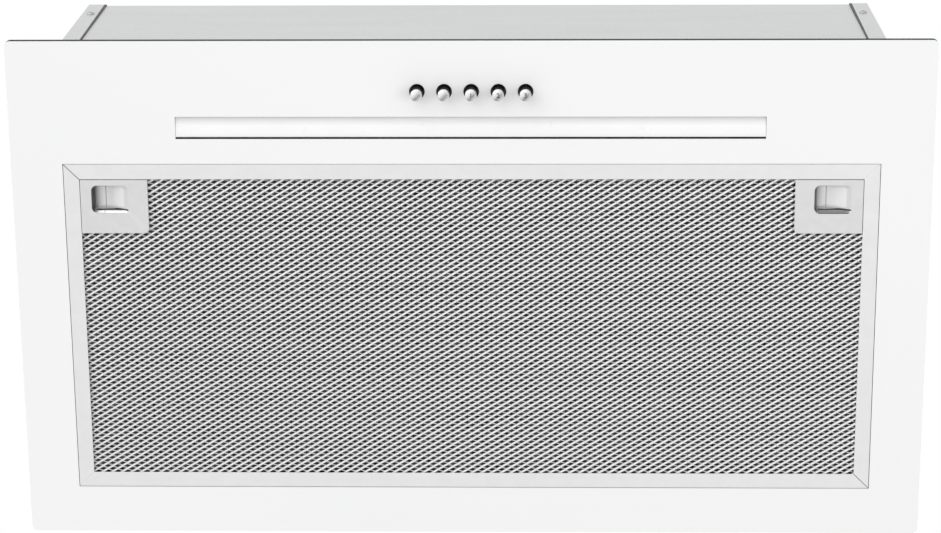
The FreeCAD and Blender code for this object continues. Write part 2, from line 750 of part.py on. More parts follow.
def make_wheel_disc():
    body = body_of("wheel_disc")
    turned(body, "wheel_disc_section", [
        (f"(-{hub_half_length})", shaft_radius),
        (f"(-{hub_half_length})", hub_radius),
        (f"(-{wheel_disc} / 2)", hub_radius),
        (f"(-{wheel_disc} / 2)", wheel_radius),
        (f"({wheel_disc} / 2)", wheel_radius),
        (f"({wheel_disc} / 2)", hub_radius),
        (hub_half_length, hub_radius),
        (hub_half_length, shaft_radius),
    ], axis="H_Axis")
    place(body, "0", axis_y, axis_z)
    return node(body)


def make_wheel_rings():
    rings = []
    for side in (-1, 1):
        x = span(side, f"{wheel_length} / 2 - {wheel_ring}", f"{wheel_length} / 2")
        band = rod(f"wheel_band_{side + 1}", f"{wheel_radius} + {wheel_ring_lip}",
                   (x[0], axis_y, axis_z), wheel_ring, ALONG_X)
        bore = rod(f"wheel_band_bore_{side + 1}", f"{wheel_radius} - {wheel_ring_depth}",
                   (f"{x[0]} - 1", axis_y, axis_z), f"{wheel_ring} + 2", ALONG_X)
        rings.append(without(f"wheel_ring_{side + 1}", band, [bore]))
    return node(group("wheel_end_rings", rings))


def make_wheel_blades():
    """Flat blades between the disc and each ring, all leaning the same way."""
    blades = []
    for side in (-1, 1):
        x = span(side, f"{wheel_disc} / 2", f"{wheel_length} / 2 - {wheel_ring}")
        for index in range(blade_count):
            angle = index * 360 / blade_count
            blade = doc.addObject("Part::Box", f"blade_{side + 1}_{index}")
            blade.Placement = Placement(Vector(), Rotation(ALONG_X, angle + blade_lean))
            root_y, root_z = arm_point(angle, blade_root_radius)
            blade.setExpression("Length", f"({x[1]}) - ({x[0]})")
            blade.setExpression("Width", blade_depth)
            blade.setExpression("Height", blade_thickness)
            blade.setExpression("Placement.Base.x", x[0])
            blade.setExpression("Placement.Base.y", root_y)
            blade.setExpression("Placement.Base.z", root_z)
            blades.append(blade)
    return node(group("wheel_blades", blades))


def make_bracket():
    ring = rod("bracket_ring", f"{motor_radius} + {bracket_ring}", (bracket_x, axis_y, axis_z),
               bracket_thickness, ALONG_X)
    shapes = [ring]
    for angle in arm_angles:
        arm = doc.addObject("Part::Box", f"bracket_arm_{angle}")
        arm.setExpression("Length", bracket_thickness)
        arm.setExpression("Width", bracket_arm_width)
        arm.setExpression("Height", f"{mount_circle} + {grommet_radius}")
        turn = angle - 90
        arm.Placement = Placement(Vector(), Rotation(ALONG_X, turn))
        half = f"{bracket_arm_width} / 2"
        arm.setExpression("Placement.Base.x", bracket_x)
        arm.setExpression("Placement.Base.y", f"{axis_y} - {half} * cos({turn})")
        arm.setExpression("Placement.Base.z", f"{axis_z} - {half} * sin({turn})")
        shapes.append(arm)
    cuts = [rod("bracket_bore", motor_radius, (f"{bracket_x} - 1", axis_y, axis_z),
                f"{bracket_thickness} + 2", ALONG_X)]
    cuts += motor_screw_rods("bracket_hole", f"{bracket_x} - 1", f"{bracket_thickness} + 2")
    return node(without("motor_bracket", joined("bracket_blank", shapes), cuts))


def make_grommets():
    grommets = []
    for angle in arm_angles:
        start = (f"{scroll_width} / 2", *arm_point(angle, mount_circle))
        solid = rod(f"grommet_body_{angle}", grommet_radius, start, grommet_thickness, ALONG_X)
        hole = rod(f"grommet_hole_{angle}", motor_screw_radius,
                   (f"{start[0]} - 1", start[1], start[2]), f"{grommet_thickness} + 2", ALONG_X)
        grommets.append(without(f"grommet_{angle}", solid, [hole]))
    return node(group("motor_grommets", grommets))


def make_motor_screws():
    low = f"{scroll_width} / 2 - {scroll_wall} - 1"
    length = f"{bracket_x} + {bracket_thickness} - ({low})"
    screws = [pan_screw(f"motor_screw_{angle}", motor_screw_radius,
                        (low, *arm_point(angle, mount_circle)), length, ALONG_X, pan_radius,
                        pan_height)
              for angle in arm_angles]
    return node(group("motor_screws", screws))


# -------------------------------------------------------------------- electrics
# The control box hangs under the top plate at the right, and holds the terminals
# and the motor's capacitor. The mains cable enters it from above, through a gland.

box_width = size("control_box_width", 106)
box_depth = size("control_box_depth", 68)
box_height = size("control_box_height", 42)
box_wall = size("control_box_wall", 2)
box_side_margin = size("control_box_side_margin", 34)
box_rear_margin = size("control_box_rear_margin", 14.5)
box_left = f"({housing_right} - {box_side_margin} - {box_width})"
box_front = f"({housing_rear} - {box_rear_margin} - {box_depth})"
box_x = (box_left, f"{box_left} + {box_width}")
box_y = (box_front, f"{box_front} + {box_depth}")
box_floor = f"({ceiling} - {box_height})"


def shrunk(span_, margin):
    return f"{span_[0]} + {margin}", f"{span_[1]} - {margin}"


def make_control_box():
    shell = block("box_shell", box_x, box_y, (box_floor, ceiling))
    hollow = block("box_hollow", shrunk(box_x, box_wall), shrunk(box_y, box_wall),
                   (f"{box_floor} - 1", f"{ceiling} + 1"))
    node(without("control_box", shell, [hollow]))
    return node(block("control_box_lid", box_x, box_y, (f"{box_floor} - {box_wall}", box_floor)))


capacitor_radius = size("capacitor_radius", 12)
capacitor_length = size("capacitor_length", 44)


def make_capacitor():
    start = (f"{box_left} + {box_wall} + {piece_gap}",
             f"{box_front} + {box_wall} + {capacitor_radius} + {piece_gap}",
             f"{box_floor} + {capacitor_radius} + {piece_gap}")
    return node(rod("motor_capacitor", capacitor_radius, start, capacitor_length, ALONG_X))


terminal_count = 4
terminal_pitch = size("terminal_pitch", 9)
terminal_depth = size("terminal_depth", 17)
terminal_height = size("terminal_height", 15)
terminal_setback = size("terminal_setback", 6)
terminal_well_radius = size("terminal_well_radius", 2.4)
terminal_well_depth = size("terminal_well_depth", 6)


def make_terminal_block():
    length = f"({terminal_count} * {terminal_pitch})"
    left = f"({box_left} + {box_width} - {box_wall} - {piece_gap} - {length})"
    front = f"({box_front} + {box_wall} + {terminal_setback})"
    body = body_of("terminal_body")
    prism(body, "terminal_bar", "XY_Plane", ("0", terminal_height),
          rectangle(("0", length), ("0", terminal_depth)))
    well_z = (f"{terminal_height} - {terminal_well_depth}", terminal_height)
    hole = prism(body, "terminal_screw_well", "XY_Plane", well_z,
                 circle((f"{terminal_pitch} / 2", f"{terminal_depth} / 2"), terminal_well_radius),
                 cut=True)
    row = body.newObject("PartDesign::LinearPattern", "terminal_screw_wells")
    row.Originals = [hole]
    row.Direction = (hole.Profile[0], ["H_Axis"])
    row.setExpression("Length", f"{terminal_count - 1} * {terminal_pitch}")
    row.Occurrences = terminal_count
    body.Tip = row
    place(body, left, front, box_floor)
    body.Label = "terminal_block"
    return node(body)


gland_bore_radius = size("gland_bore_radius", 3.5)
gland_flange_radius = size("gland_flange_radius", 9)
gland_flange_thickness = size("gland_flange_thickness", 3)
gland_dome_radius = size("gland_dome_radius", 7.5)
gland_dome_height = size("gland_dome_height", 12)
gland_dome_slope = size("gland_dome_slope", 2)
gland_thread_length = size("gland_thread_length", 10)
gland_nut_thickness = size("gland_nut_thickness", 4)


def make_gland():
    body = body_of("cable_gland")
    turned(body, "gland_section", [
        (gland_bore_radius, f"(-{gland_thread_length})"),
        (gland_thread_radius, f"(-{gland_thread_length})"),
        (gland_thread_radius, "0"),
        (gland_flange_radius, "0"),
        (gland_flange_radius, gland_flange_thickness),
        (gland_dome_radius, gland_flange_thickness),
        (gland_dome_radius, f"({gland_dome_height} - {gland_dome_slope})"),
        (f"({gland_dome_radius} - {gland_dome_slope})", gland_dome_height),
        (gland_bore_radius, gland_dome_height),
    ])
    place(body, gland_x, gland_y, housing_height)
    node(body)
    nut = rod("gland_nut_disc", gland_flange_radius,
              (gland_x, gland_y, f"{ceiling} - {gland_nut_thickness}"), gland_nut_thickness, ALONG_Z)
    bore = rod("gland_nut_bore", gland_thread_radius,
               (gland_x, gland_y, f"{ceiling} - {gland_nut_thickness} - 1"),
               f"{gland_nut_thickness} + 2", ALONG_Z)
    return node(without("gland_nut", nut, [bore]))


driver_side_margin = size("led_driver_side_margin", 35)
driver_left = f"({housing_left} + {driver_side_margin})"
driver_width = size("led_driver_width", 78)
driver_depth = size("led_driver_depth", 48)
driver_height = size("led_driver_height", 24)


def make_led_driver():
    case = block("led_driver", (driver_left, f"{driver_left} + {driver_width}"),
                 (box_front, f"{box_front} + {driver_depth}"),
                 (f"{ceiling} - {driver_height}", ceiling))
    return node(case)


# ----------------------------------------------------------------- push buttons
# Five bright buttons in a row. Each has a flange behind the tray, a stem that
# slides in the switch bank and a spring that pushes it back out.

cap_radius = size("button_cap_radius", 3.3)
cap_reach = size("button_cap_reach", 10.6)
cap_crown = size("button_cap_crown", 1)
button_flange_radius = size("button_flange_radius", 5.6)
button_flange_thickness = size("button_flange_thickness", 1.3)
stem_radius = size("button_stem_radius", 1.8)
stem_length = size("button_stem_length", 11.5)
button_travel = size("button_travel", 3)
spring_length = size("button_spring_length", 6.4)
spring_radius = size("button_spring_radius", 3.1)
spring_wire = size("button_spring_wire", 0.6)
spring_end_gap = size("button_spring_end_gap", 0.1)
flange_low = f"({tray_thickness} + {piece_gap})"
flange_high = f"({flange_low} + {button_flange_thickness})"
switch_low = f"({flange_high} + {spring_length})"
cap_tip = f"({fascia_face} - {cap_reach})"


def make_button(index, x):
    body = body_of(f"push_button_{index}")
    turned(body, f"button_section_{index}", [
        ("0", cap_tip),
        (f"({cap_radius} * 0.45)", f"({cap_tip} + {cap_crown} * 0.12)"),
        (f"({cap_radius} * 0.75)", f"({cap_tip} + {cap_crown} * 0.36)"),
        (f"({cap_radius} * 0.93)", f"({cap_tip} + {cap_crown} * 0.68)"),
        (cap_radius, f"({cap_tip} + {cap_crown} * 1.2)"),
        (cap_radius, flange_low),
        (button_flange_radius, flange_low),
        (button_flange_radius, flange_high),
        (stem_radius, flange_high),
        (stem_radius, f"({flange_high} + {stem_length})"),
        ("0", f"({flange_high} + {stem_length})"),
    ])
    place(body, x, button_y, "0")
    return node(body)


def make_button_spring(index, x):
    """The space of a small coil spring: a sleeve of the wire's thickness."""
    low = f"({flange_high} + {spring_end_gap})"
    length = f"({spring_length} - 2 * {spring_end_gap})"
    sleeve = rod(f"spring_sleeve_{index}", spring_radius, (x, button_y, low), length, ALONG_Z)
    bore = rod(f"spring_bore_{index}", f"{spring_radius} - {spring_wire}",
               (x, button_y, f"{low} - 1"), f"{length} + 2", ALONG_Z)
    return node(without(f"button_spring_{index}", sleeve, [bore]))


switch_height = size("switch_height", 17)
switch_depth = size("switch_depth", 16)
switch_end = size("switch_end_margin", 8)
switch_foot = size("switch_foot_width", 4)
switch_foot_rise = size("switch_foot_rise", 3)
switch_bore_spare = size("switch_bore_spare", 1.5)
stem_clearance = size("stem_clearance", 0.08)
board_thickness = size("board_thickness", 1.6)
board_overhang = size("switch_board_overhang", 3)


def make_switch_bank():
    left = f"{button_places[0]} - {switch_end}"
    right = f"{button_places[-1]} + {switch_end}"
    bank_y = about(button_y, f"{switch_depth} / 2")
    top = f"{switch_low} + {switch_height}"
    case = block("switch_case", (left, right), bank_y, (switch_low, top))
    feet = [block("switch_left_foot", (f"{left} - {switch_foot}", left), bank_y,
                  (tray_thickness, f"{switch_low} + {switch_foot_rise}")),
            block("switch_right_foot", (right, f"{right} + {switch_foot}"), bank_y,
                  (tray_thickness, f"{switch_low} + {switch_foot_rise}"))]
    depth = f"{stem_length} - {spring_length} + {button_travel} + {switch_bore_spare}"
    bores = [rod(f"switch_bore_{index}", f"{stem_radius} + {stem_clearance}",
                 (x, button_y, f"{switch_low} - 1"), f"{depth} + 1", ALONG_Z)
             for index, x in enumerate(button_places, start=1)]
    node(without("switch_bank", joined("switch_blank", [case, *feet]), bores))
    board_x = (f"{left} - {board_overhang}", f"{right} + {board_overhang}")
    return node(block("switch_board", board_x, bank_y, (top, f"{top} + {board_thickness}")))


# ------------------------------------------------------------------------ light
# An aluminium trough over the slot holds the LED strip. The opal diffuser drops
# into the slot from inside, and its side lips rest on the tray.

trough_wall = size("trough_wall", 1.2)
trough_height = size("trough_height", 16)
diffuser_recess = size("diffuser_recess", 0.5)
diffuser_wall = size("diffuser_wall", 1.6)
diffuser_lip = size("diffuser_lip", 1.6)
diffuser_lip_thickness = size("diffuser_lip_thickness", 1)
diffuser_lip_gap = size("diffuser_lip_gap", 0.05)
diffuser_play = size("diffuser_play", 0.1)
trough_overhang = size("trough_overhang", 6)
led_board_end_gap = size("led_board_end_gap", 4)
led_board_width = size("led_board_width", 10)
led_row_margin = size("led_row_margin", 10)
led_size = size("led_size", 3)
led_rise = size("led_rise", 0.8)
led_count = 24


def make_diffuser():
    half = f"({light_width} / 2 - {diffuser_play})"
    inner = f"({half} - {diffuser_wall})"
    floor = f"({fascia_face} + {diffuser_recess})"
    lip_low = f"({tray_thickness} + {diffuser_lip_gap})"
    lip_top = f"({lip_low} + {diffuser_lip_thickness})"
    body = body_of("light_diffuser")
    prism(body, "diffuser_section", "YZ_Plane",
          (f"{light_x[0]} + {diffuser_play}", f"{light_x[1]} - {diffuser_play}"), outline(
              (f"(-{half})", floor),
              (half, floor),
              (half, lip_low),
              (f"({half} + {diffuser_lip})", lip_low),
              (f"({half} + {diffuser_lip})", lip_top),
              (inner, lip_top),
              (inner, f"({floor} + {diffuser_wall})"),
              (f"(-{inner})", f"({floor} + {diffuser_wall})"),
              (f"(-{inner})", lip_top),
              (f"(-{half} - {diffuser_lip})", lip_top),
              (f"(-{half} - {diffuser_lip})", lip_low),
              (f"(-{half})", lip_low)))
    place(body, "0", light_y, "0")
    return node(body)


trough_half = f"({light_width} / 2 + {diffuser_lip} + {piece_gap} + {trough_wall})"
trough_top = f"({tray_thickness} + {trough_height})"
trough_x = (f"{light_x[0]} - {trough_overhang}", f"{light_x[1]} + {trough_overhang}")


def make_light_trough():
    shell = block("trough_shell", trough_x, about(light_y, trough_half), (tray_thickness, trough_top))
    hollow = block("trough_hollow", shrunk(trough_x, trough_wall),
                   about(light_y, f"({trough_half} - {trough_wall})"),
                   (f"{tray_thickness} - 1", f"{trough_top} - {trough_wall}"))
    return node(without("light_trough", shell, [hollow]))


def make_led_strip():
    top = f"({trough_top} - {trough_wall})"
    low = f"({top} - {board_thickness})"
    node(block("led_board", shrunk(light_x, led_board_end_gap),
               about(light_y, f"{led_board_width} / 2"), (low, top)))
    pitch = f"(({light_length} - 2 * {led_row_margin}) / {led_count})"
    chips = []
    for index in range(led_count):
        centre = f"({index - (led_count - 1) / 2} * {pitch})"
        chips.append(block(f"led_chip_{index}", about(centre, f"{led_size} / 2"),
                           about(light_y, f"{led_size} / 2"), (f"{low} - {led_rise}", low)))
    return node(group("led_chips", chips))


# ----------------------------------------------------------------- grease filter
# A folded aluminium frame, mitred at its corners, round a pad of expanded foil
# between two expanded nets. Two rear hooks carry it, and it tilts down on them.

bar_width = size("filter_bar_width", 8.8)
bar_skin = size("filter_bar_skin", 0.8)
bar_top_width = size("filter_bar_top_width", 6)
front_net_thickness = size("front_net_thickness", 1.2)
back_net_thickness = size("back_net_thickness", 1)


def make_frame_bar(name, length, x, y, turn):
    """One mitred channel, drawn as the front bar and turned into its place."""
    body = body_of(f"{name}_bar" if turn == 0 else name)
    half = f"({length} / 2)"
    top = filter_top
    prism(body, f"{name}_channel", "YZ_Plane", (f"-{half}", half), outline(
        ("0", fascia_face),
        (bar_width, fascia_face),
        (bar_width, f"({fascia_face} + {bar_skin})"),
        (bar_skin, f"({fascia_face} + {bar_skin})"),
        (bar_skin, f"({top} - {bar_skin})"),
        (bar_top_width, f"({top} - {bar_skin})"),
        (bar_top_width, top),
        ("0", top)))
    reach = f"({bar_width} + 2)"
    for end in (-1, 1):
        inner = f"({end} * ({half} - {reach}))"
        prism(body, f"{name}_mitre_{end + 1}", "XY_Plane", (f"{fascia_face} - 1", f"{top} + 1"), outline(
            (f"({end} * ({half} + 1))", "(-1)"),
            (inner, reach),
            (f"({end} * ({half} + 1))", reach)), cut=True)
    place(body, x, y, "0", turn)
    return body


def make_filter_frame():
    middle = f"({filter_front} + {filter_rear}) / 2"
    front = make_frame_bar("filter_frame_front", filter_width, "0", filter_front, 0)
    slots = [slots_for(f"tongue_slot_{side + 1}", tongue_centre(side), tongue_width,
                       (f"{filter_front} - 1", f"{filter_front} + {bar_skin} + 1"),
                       tongue_low, tongue_thickness)
             for side in (-1, 1)]
    node(without("filter_frame_front", front, slots))
    node(make_frame_bar("filter_frame_rear", filter_width, "0", filter_rear, 180))
    node(make_frame_bar("filter_frame_left", filter_depth, filter_left, middle, -90))
    return node(make_frame_bar("filter_frame_right", filter_depth, filter_right, middle, 90))


latch_plate_width = size("latch_plate_width", 38.3)
latch_plate_depth = size("latch_plate_depth", 31.4)
latch_gap = size("latch_gap", 0.3)
notch_margin = size("latch_notch_margin", 3)
inside_margin = f"({bar_skin} + {piece_gap})"
notch_x = f"({filter_width} / 2 - {bar_width} - {latch_gap} - {latch_plate_width} + {notch_margin})"
notch_y = f"({filter_front} + {bar_width} + {latch_gap} + {latch_plate_depth} - {notch_margin})"


def notched_outline():
    """Corners of a filter layer, with a step at each front corner for the latch."""
    left = f"({filter_left} + {inside_margin})"
    right = f"({filter_right} - {inside_margin})"
    front = f"({filter_front} + {inside_margin})"
    rear = f"({filter_rear} - {inside_margin})"
    return [(f"(-{notch_x})", front), (notch_x, front), (notch_x, notch_y), (right, notch_y),
            (right, rear), (left, rear), (left, notch_y), (f"(-{notch_x})", notch_y)]


net_pitch = size("net_pitch", 30)
net_row = size("net_row", 9.5)
net_strand = size("net_strand", 2.6)


def diamond(x, y, half_width, half_height):
    corners = [(x - half_width, y), (x, y - half_height), (x + half_width, y), (x, y + half_height)]
    return Part.makePolygon([Vector(cx, cy, 0) for cx, cy in corners + corners[:1]])


def make_net(name, low, thickness):
    """One holed sheet: diamonds in rows, each row set over by half a pitch."""
    corners = [Vector(number(x), number(y), 0) for x, y in notched_outline()]
    wires = [Part.makePolygon(corners + corners[:1])]
    pitch, row, strand = number(net_pitch), number(net_row), number(net_strand)
    half_width = pitch / 2 - strand
    half_height = row - strand / 2
    edge = number(bar_width) + strand
    x_end = number(filter_right) - edge - half_width
    y_low = number(filter_front) + edge + half_height
    y_high = number(filter_rear) - edge - half_height
    rows = int((y_high - y_low) / row)
    for index in range(rows + 1):
        y = y_low + index * row
        columns = int(2 * x_end / pitch)
        shift = 0 if index % 2 == 0 else pitch / 2
        start = -columns / 2 * pitch + shift
        for column in range(columns + 1):
            x = start + column * pitch
            beside_latch = y - half_height < number(notch_y) + strand
            limit = number(notch_x) - strand - half_width if beside_latch else x_end
            if abs(x) <= limit:
                wires.append(diamond(x, y, half_width, half_height))
    face = Part.makeFace(wires, "Part::FaceMakerBullseye")
    net = doc.addObject("Part::Feature", name)
    net.Shape = face.extrude(Vector(0, 0, number(thickness)))
    net.Placement = Placement(Vector(0, 0, number(low)), Rotation())
    print(name, "has", len(wires) - 1, "gaps")
    return node(net)


net_seat_gap = size("net_seat_gap", 0.2)
front_net_low = f"({fascia_face} + {bar_skin} + {net_seat_gap})"
pad_low = f"({front_net_low} + {front_net_thickness})"
back_net_low = f"({filter_top} - {bar_skin} - {back_net_thickness})"


def make_filter_pad():
    body = body_of("filter_pad")
    prism(body, "pad_block", "XY_Plane", (pad_low, back_net_low), outline(*notched_outline()))
    return node(body)


def make_rear_hooks():
    hooks = []
    for side in (-1, 1):
        centre = f"({side} * {hook_spacing} / 2)"
        hooks.append(block(f"rear_hook_{side + 1}", about(centre, f"{hook_width} / 2"),
                           (filter_rear, f"{filter_rear} + {hook_reach}"),
                           (hook_low, f"{hook_low} + {hook_thickness}")))
    return node(group("filter_rear_hooks", hooks))


# ---------------------------------------------------------------- filter latches
# Each latch is one pressing: a plate in the filter's front corner with a finger
# cup, and a tongue that reaches forward through the frame. It slides rearward.

cup_inset = size("latch_cup_inset", 6)
cup_front_inset = size("latch_cup_front_inset", 3.2)
cup_width = size("latch_cup_width", 21.6)
cup_depth_y = size("latch_cup_length", 16.6)
cup_depth = size("latch_cup_depth", 7.4)
cup_flat = size("latch_cup_flat", 7.4)
latch_skin = size("latch_skin", 0.8)
latch_travel = size("latch_travel", 4)
latch_neck_reach = size("latch_neck_reach", 0.6)
guide_play = size("latch_guide_play", 0.2)
guide_gap = size("latch_guide_gap", 0.4)
guide_skin = size("latch_guide_skin", 0.8)
plate_front = f"({filter_front} + {bar_width} + {latch_gap})"
plate_rear = f"({plate_front} + {latch_plate_depth})"
cup_front = f"({plate_front} + {cup_front_inset})"
cup_rear = f"({cup_front} + {cup_depth_y})"
cup_floor = f"({fascia_face} + {cup_depth})"


def latch_frame(side):
    """The plate's and the cup's range along X at one corner of the filter."""
    outer = f"({filter_width} / 2 - {bar_width} - {latch_gap})"
    plate_x = span(side, f"{outer} - {latch_plate_width}", outer)
    cup_x = span(side, f"{outer} - {cup_inset} - {cup_width}", f"{outer} - {cup_inset}")
    return plate_x, cup_x


def make_latch(name, side):
    plate_x, cup_x = latch_frame(side)
    left, right = cup_x
    top = f"({cup_floor} + {latch_skin})"
    body = body_of(name)
    prism(body, f"{name}_plate", "XY_Plane", (fascia_face, f"{fascia_face} + {latch_skin}"),
          rectangle(plate_x, (plate_front, plate_rear)))
    prism(body, f"{name}_cup_outside", "XZ_Plane",
          (f"{cup_front} - {latch_skin}", f"{cup_rear} + {latch_skin}"), outline(
              (f"({left} - {latch_skin})", fascia_face),
              (f"({right} + {latch_skin})", fascia_face),
              (f"({right} + {latch_skin})", f"({fascia_face} + {latch_skin})"),
              (f"({left} + {cup_flat} + {latch_skin} / 2)", top),
              (f"({left} - {latch_skin})", top)))
    tongue_x = about(tongue_centre(side), f"{tongue_width} / 2")
    prism(body, f"{name}_tongue", "XY_Plane", (tongue_low, f"{tongue_low} + {tongue_thickness}"),
          rectangle(tongue_x, (f"{filter_front} - {filter_gap} + {piece_gap}", cup_front)))
    neck_x = (f"({left} - {latch_skin})", f"({left} + {cup_flat} / 2)")
    prism(body, f"{name}_neck", "XY_Plane", (f"{fascia_face} + {latch_skin}", tongue_low),
          rectangle(neck_x, (f"{cup_front} - {latch_skin} - {latch_neck_reach}", cup_front)))
    prism(body, f"{name}_cup", "XZ_Plane", (cup_front, cup_rear), outline(
        (left, f"({fascia_face} - 1)"),
        (right, f"({fascia_face} - 1)"),
        (right, fascia_face),
        (f"({left} + {cup_flat})", cup_floor),
        (left, cup_floor)), cut=True)
    return node(body)


def make_latch_guide(name, side):
    """A folded cover over the latch, with a wall each side of the cup."""
    outer = f"({filter_width} / 2 - {bar_skin} - {guide_gap})"
    cover_x = span(side, f"{notch_x} + {guide_gap}", outer)
    cover_y = (f"{filter_front} + {bar_skin} + {guide_gap}", f"{notch_y} - {guide_gap}")
    cover_z = (f"({filter_top} - {bar_skin} - {guide_skin})", f"({filter_top} - {bar_skin})")
    left, right = latch_frame(side)[1]
    left_near = f"({left} - {latch_skin} - {guide_play})"
    right_near = f"({right} + {latch_skin} + {guide_play})"
    wall_y = (f"({plate_front} + {piece_gap})", f"{notch_y} - {guide_gap}")
    wall_z = (f"({fascia_face} + {latch_skin} + {guide_gap})", cover_z[0])
    shapes = [block(f"{name}_cover", cover_x, cover_y, cover_z),
              block(f"{name}_left_wall", (f"({left_near} - {guide_skin})", left_near),
                    wall_y, wall_z),
              block(f"{name}_right_wall", (right_near, f"({right_near} + {guide_skin})"),
                    wall_y, wall_z)]
    return node(joined(name, shapes))


# ------------------------------------------------------------------ put together

make_fascia()
make_tray()
make_filter_seat()
make_housing_side("housing_left_side", -1)
make_housing_side("housing_right_side", 1)
make_housing_end("housing_front_plate", (f"{housing_front} + {sheet_metal}", inside_y[0]))
make_housing_end("housing_rear_plate", (inside_y[1], f"{housing_rear} - {sheet_metal}"))
make_housing_screws()
make_top_plate()
make_collar()
make_outlet_screws()
make_flap_pin()
make_flap("flap_rear", 1)
make_flap("flap_front", -1)
make_scroll_shell("scroll_left_shell", -1)
make_scroll_shell("scroll_right_shell", 1)
make_motor()
make_shaft()
make_wheel_disc()
make_wheel_rings()
make_wheel_blades()
make_bracket()
make_grommets()
make_motor_screws()
make_control_box()
make_capacitor()
make_terminal_block()
make_gland()
make_led_driver()
for button_index, button_x in enumerate(button_places, start=1):
    make_button(button_index, button_x)
    make_button_spring(button_index, button_x)
make_switch_bank()
make_diffuser()
make_light_trough()
make_led_strip()
make_filter_frame()
make_net("filter_front_net", front_net_low, front_net_thickness)
make_filter_pad()
make_net("filter_back_net", back_net_low, back_net_thickness)
make_rear_hooks()
make_latch("latch_left", -1)
make_latch("latch_right", 1)
make_latch_guide("latch_guide_left", -1)
make_latch_guide("latch_guide_right", 1)

doc.recompute()

broken = [item.Name for item in doc.Objects if {"Invalid", "Error"} & set(item.State)]
broken += [piece.Name for piece in nodes if piece.Shape.isNull() or not piece.Shape.isValid()]
if broken:
    raise RuntimeError("these objects failed: " + ", ".join(broken))

os.makedirs("parts", exist_ok=True)
for piece in nodes:
    piece.Shape.exportStep(f"parts/{piece.Label}.step")
    print(piece.Label, len(piece.Shape.Solids), round(piece.Shape.Volume, 1))
print(len(nodes), "nodes")
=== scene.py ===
"""Range hood insert, seen from below at its front, as it hangs in a wall cabinet."""

import math

import bmesh
import bpy
from mathutils import Matrix, Vector, noise


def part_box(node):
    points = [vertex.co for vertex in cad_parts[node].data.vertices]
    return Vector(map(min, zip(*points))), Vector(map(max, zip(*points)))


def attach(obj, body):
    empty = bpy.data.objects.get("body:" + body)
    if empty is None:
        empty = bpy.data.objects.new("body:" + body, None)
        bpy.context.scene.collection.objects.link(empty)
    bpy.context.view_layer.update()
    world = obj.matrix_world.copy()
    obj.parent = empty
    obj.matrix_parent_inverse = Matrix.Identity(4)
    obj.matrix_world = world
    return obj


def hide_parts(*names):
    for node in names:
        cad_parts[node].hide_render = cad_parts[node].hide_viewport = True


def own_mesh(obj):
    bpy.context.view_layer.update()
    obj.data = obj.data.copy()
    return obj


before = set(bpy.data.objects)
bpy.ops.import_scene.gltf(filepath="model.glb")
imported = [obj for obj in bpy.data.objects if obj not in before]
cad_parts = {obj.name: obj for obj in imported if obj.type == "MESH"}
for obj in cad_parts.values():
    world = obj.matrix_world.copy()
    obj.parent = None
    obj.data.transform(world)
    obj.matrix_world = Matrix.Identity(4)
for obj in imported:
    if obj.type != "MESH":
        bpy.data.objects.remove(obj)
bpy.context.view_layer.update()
MM = 0.001


# ------------------------------------------------------------- camera and room
# The photograph was taken from the front and well below the hood. A white room
# and three soft lamps light it.

LENS_MM, SENSOR_MM = 104.1, 36
CAMERA_PLACE = (0.04156, -0.47982, -1.48394)
CAMERA_TURN, CAMERA_TILT, CAMERA_ROLL = (math.radians(angle) for angle in (-1.544, 17.403, -0.045))
ROOM_STRENGTH = 0.74


def camera_axes():
    """The camera's axes: level and facing up first, then tilted, turned and rolled."""
    right = Vector((1, 0, 0))
    up = Vector((0, -math.cos(CAMERA_TILT), math.sin(CAMERA_TILT)))
    ahead = Vector((0, math.sin(CAMERA_TILT), math.cos(CAMERA_TILT)))
    cos_turn, sin_turn = math.cos(CAMERA_TURN), math.sin(CAMERA_TURN)
    right, ahead = cos_turn * right - sin_turn * ahead, sin_turn * right + cos_turn * ahead
    cos_roll, sin_roll = math.cos(CAMERA_ROLL), math.sin(CAMERA_ROLL)
    right, up = cos_roll * right - sin_roll * up, sin_roll * right + cos_roll * up
    return Matrix((right, up, -ahead)).transposed().to_4x4()


lens = bpy.data.cameras.new("camera")
lens.lens = LENS_MM
lens.sensor_width = SENSOR_MM
lens.clip_start = 0.05
camera = bpy.data.objects.new("camera", lens)
camera.matrix_world = Matrix.Translation(CAMERA_PLACE) @ camera_axes()
bpy.context.collection.objects.link(camera)
bpy.context.scene.camera = camera
bpy.context.scene.view_settings.view_transform = "Standard"

world = bpy.data.worlds.new("white_room")
bpy.context.scene.world = world
world.use_nodes = True
room = world.node_tree
room.nodes.clear()
rays = room.nodes.new("ShaderNodeLightPath")
shown = rays.outputs["Is Camera Ray"]
for kind in ("Is Glossy Ray", "Is Transmission Ray"):
    either = room.nodes.new("ShaderNodeMath")
    either.operation = "MAXIMUM"
    room.links.new(shown, either.inputs[0])
    room.links.new(rays.outputs[kind], either.inputs[1])
    shown = either.outputs[0]
strength = room.nodes.new("ShaderNodeMapRange")
strength.inputs["To Min"].default_value = ROOM_STRENGTH
strength.inputs["To Max"].default_value = 1.0
room.links.new(shown, strength.inputs["Value"])
white = room.nodes.new("ShaderNodeBackground")
white.inputs["Color"].default_value = (1, 1, 1, 1)
room.links.new(strength.outputs[0], white.inputs["Strength"])
room.links.new(white.outputs[0], room.nodes.new("ShaderNodeOutputWorld").inputs[0])


def soft_lamp(name, place, aim, width, watts):
    """A square lamp at a place, turned to face its aim."""
    lamp = bpy.data.lights.new(name, "AREA")
    lamp.shape = "SQUARE"
    lamp.size = width
    lamp.energy = watts
    holder = bpy.data.objects.new(name, lamp)
    towards = Vector(aim) - Vector(place)
    holder.matrix_world = (Matrix.Translation(place)
                           @ towards.to_track_quat("-Z", "Y").to_matrix().to_4x4())
    bpy.context.collection.objects.link(holder)


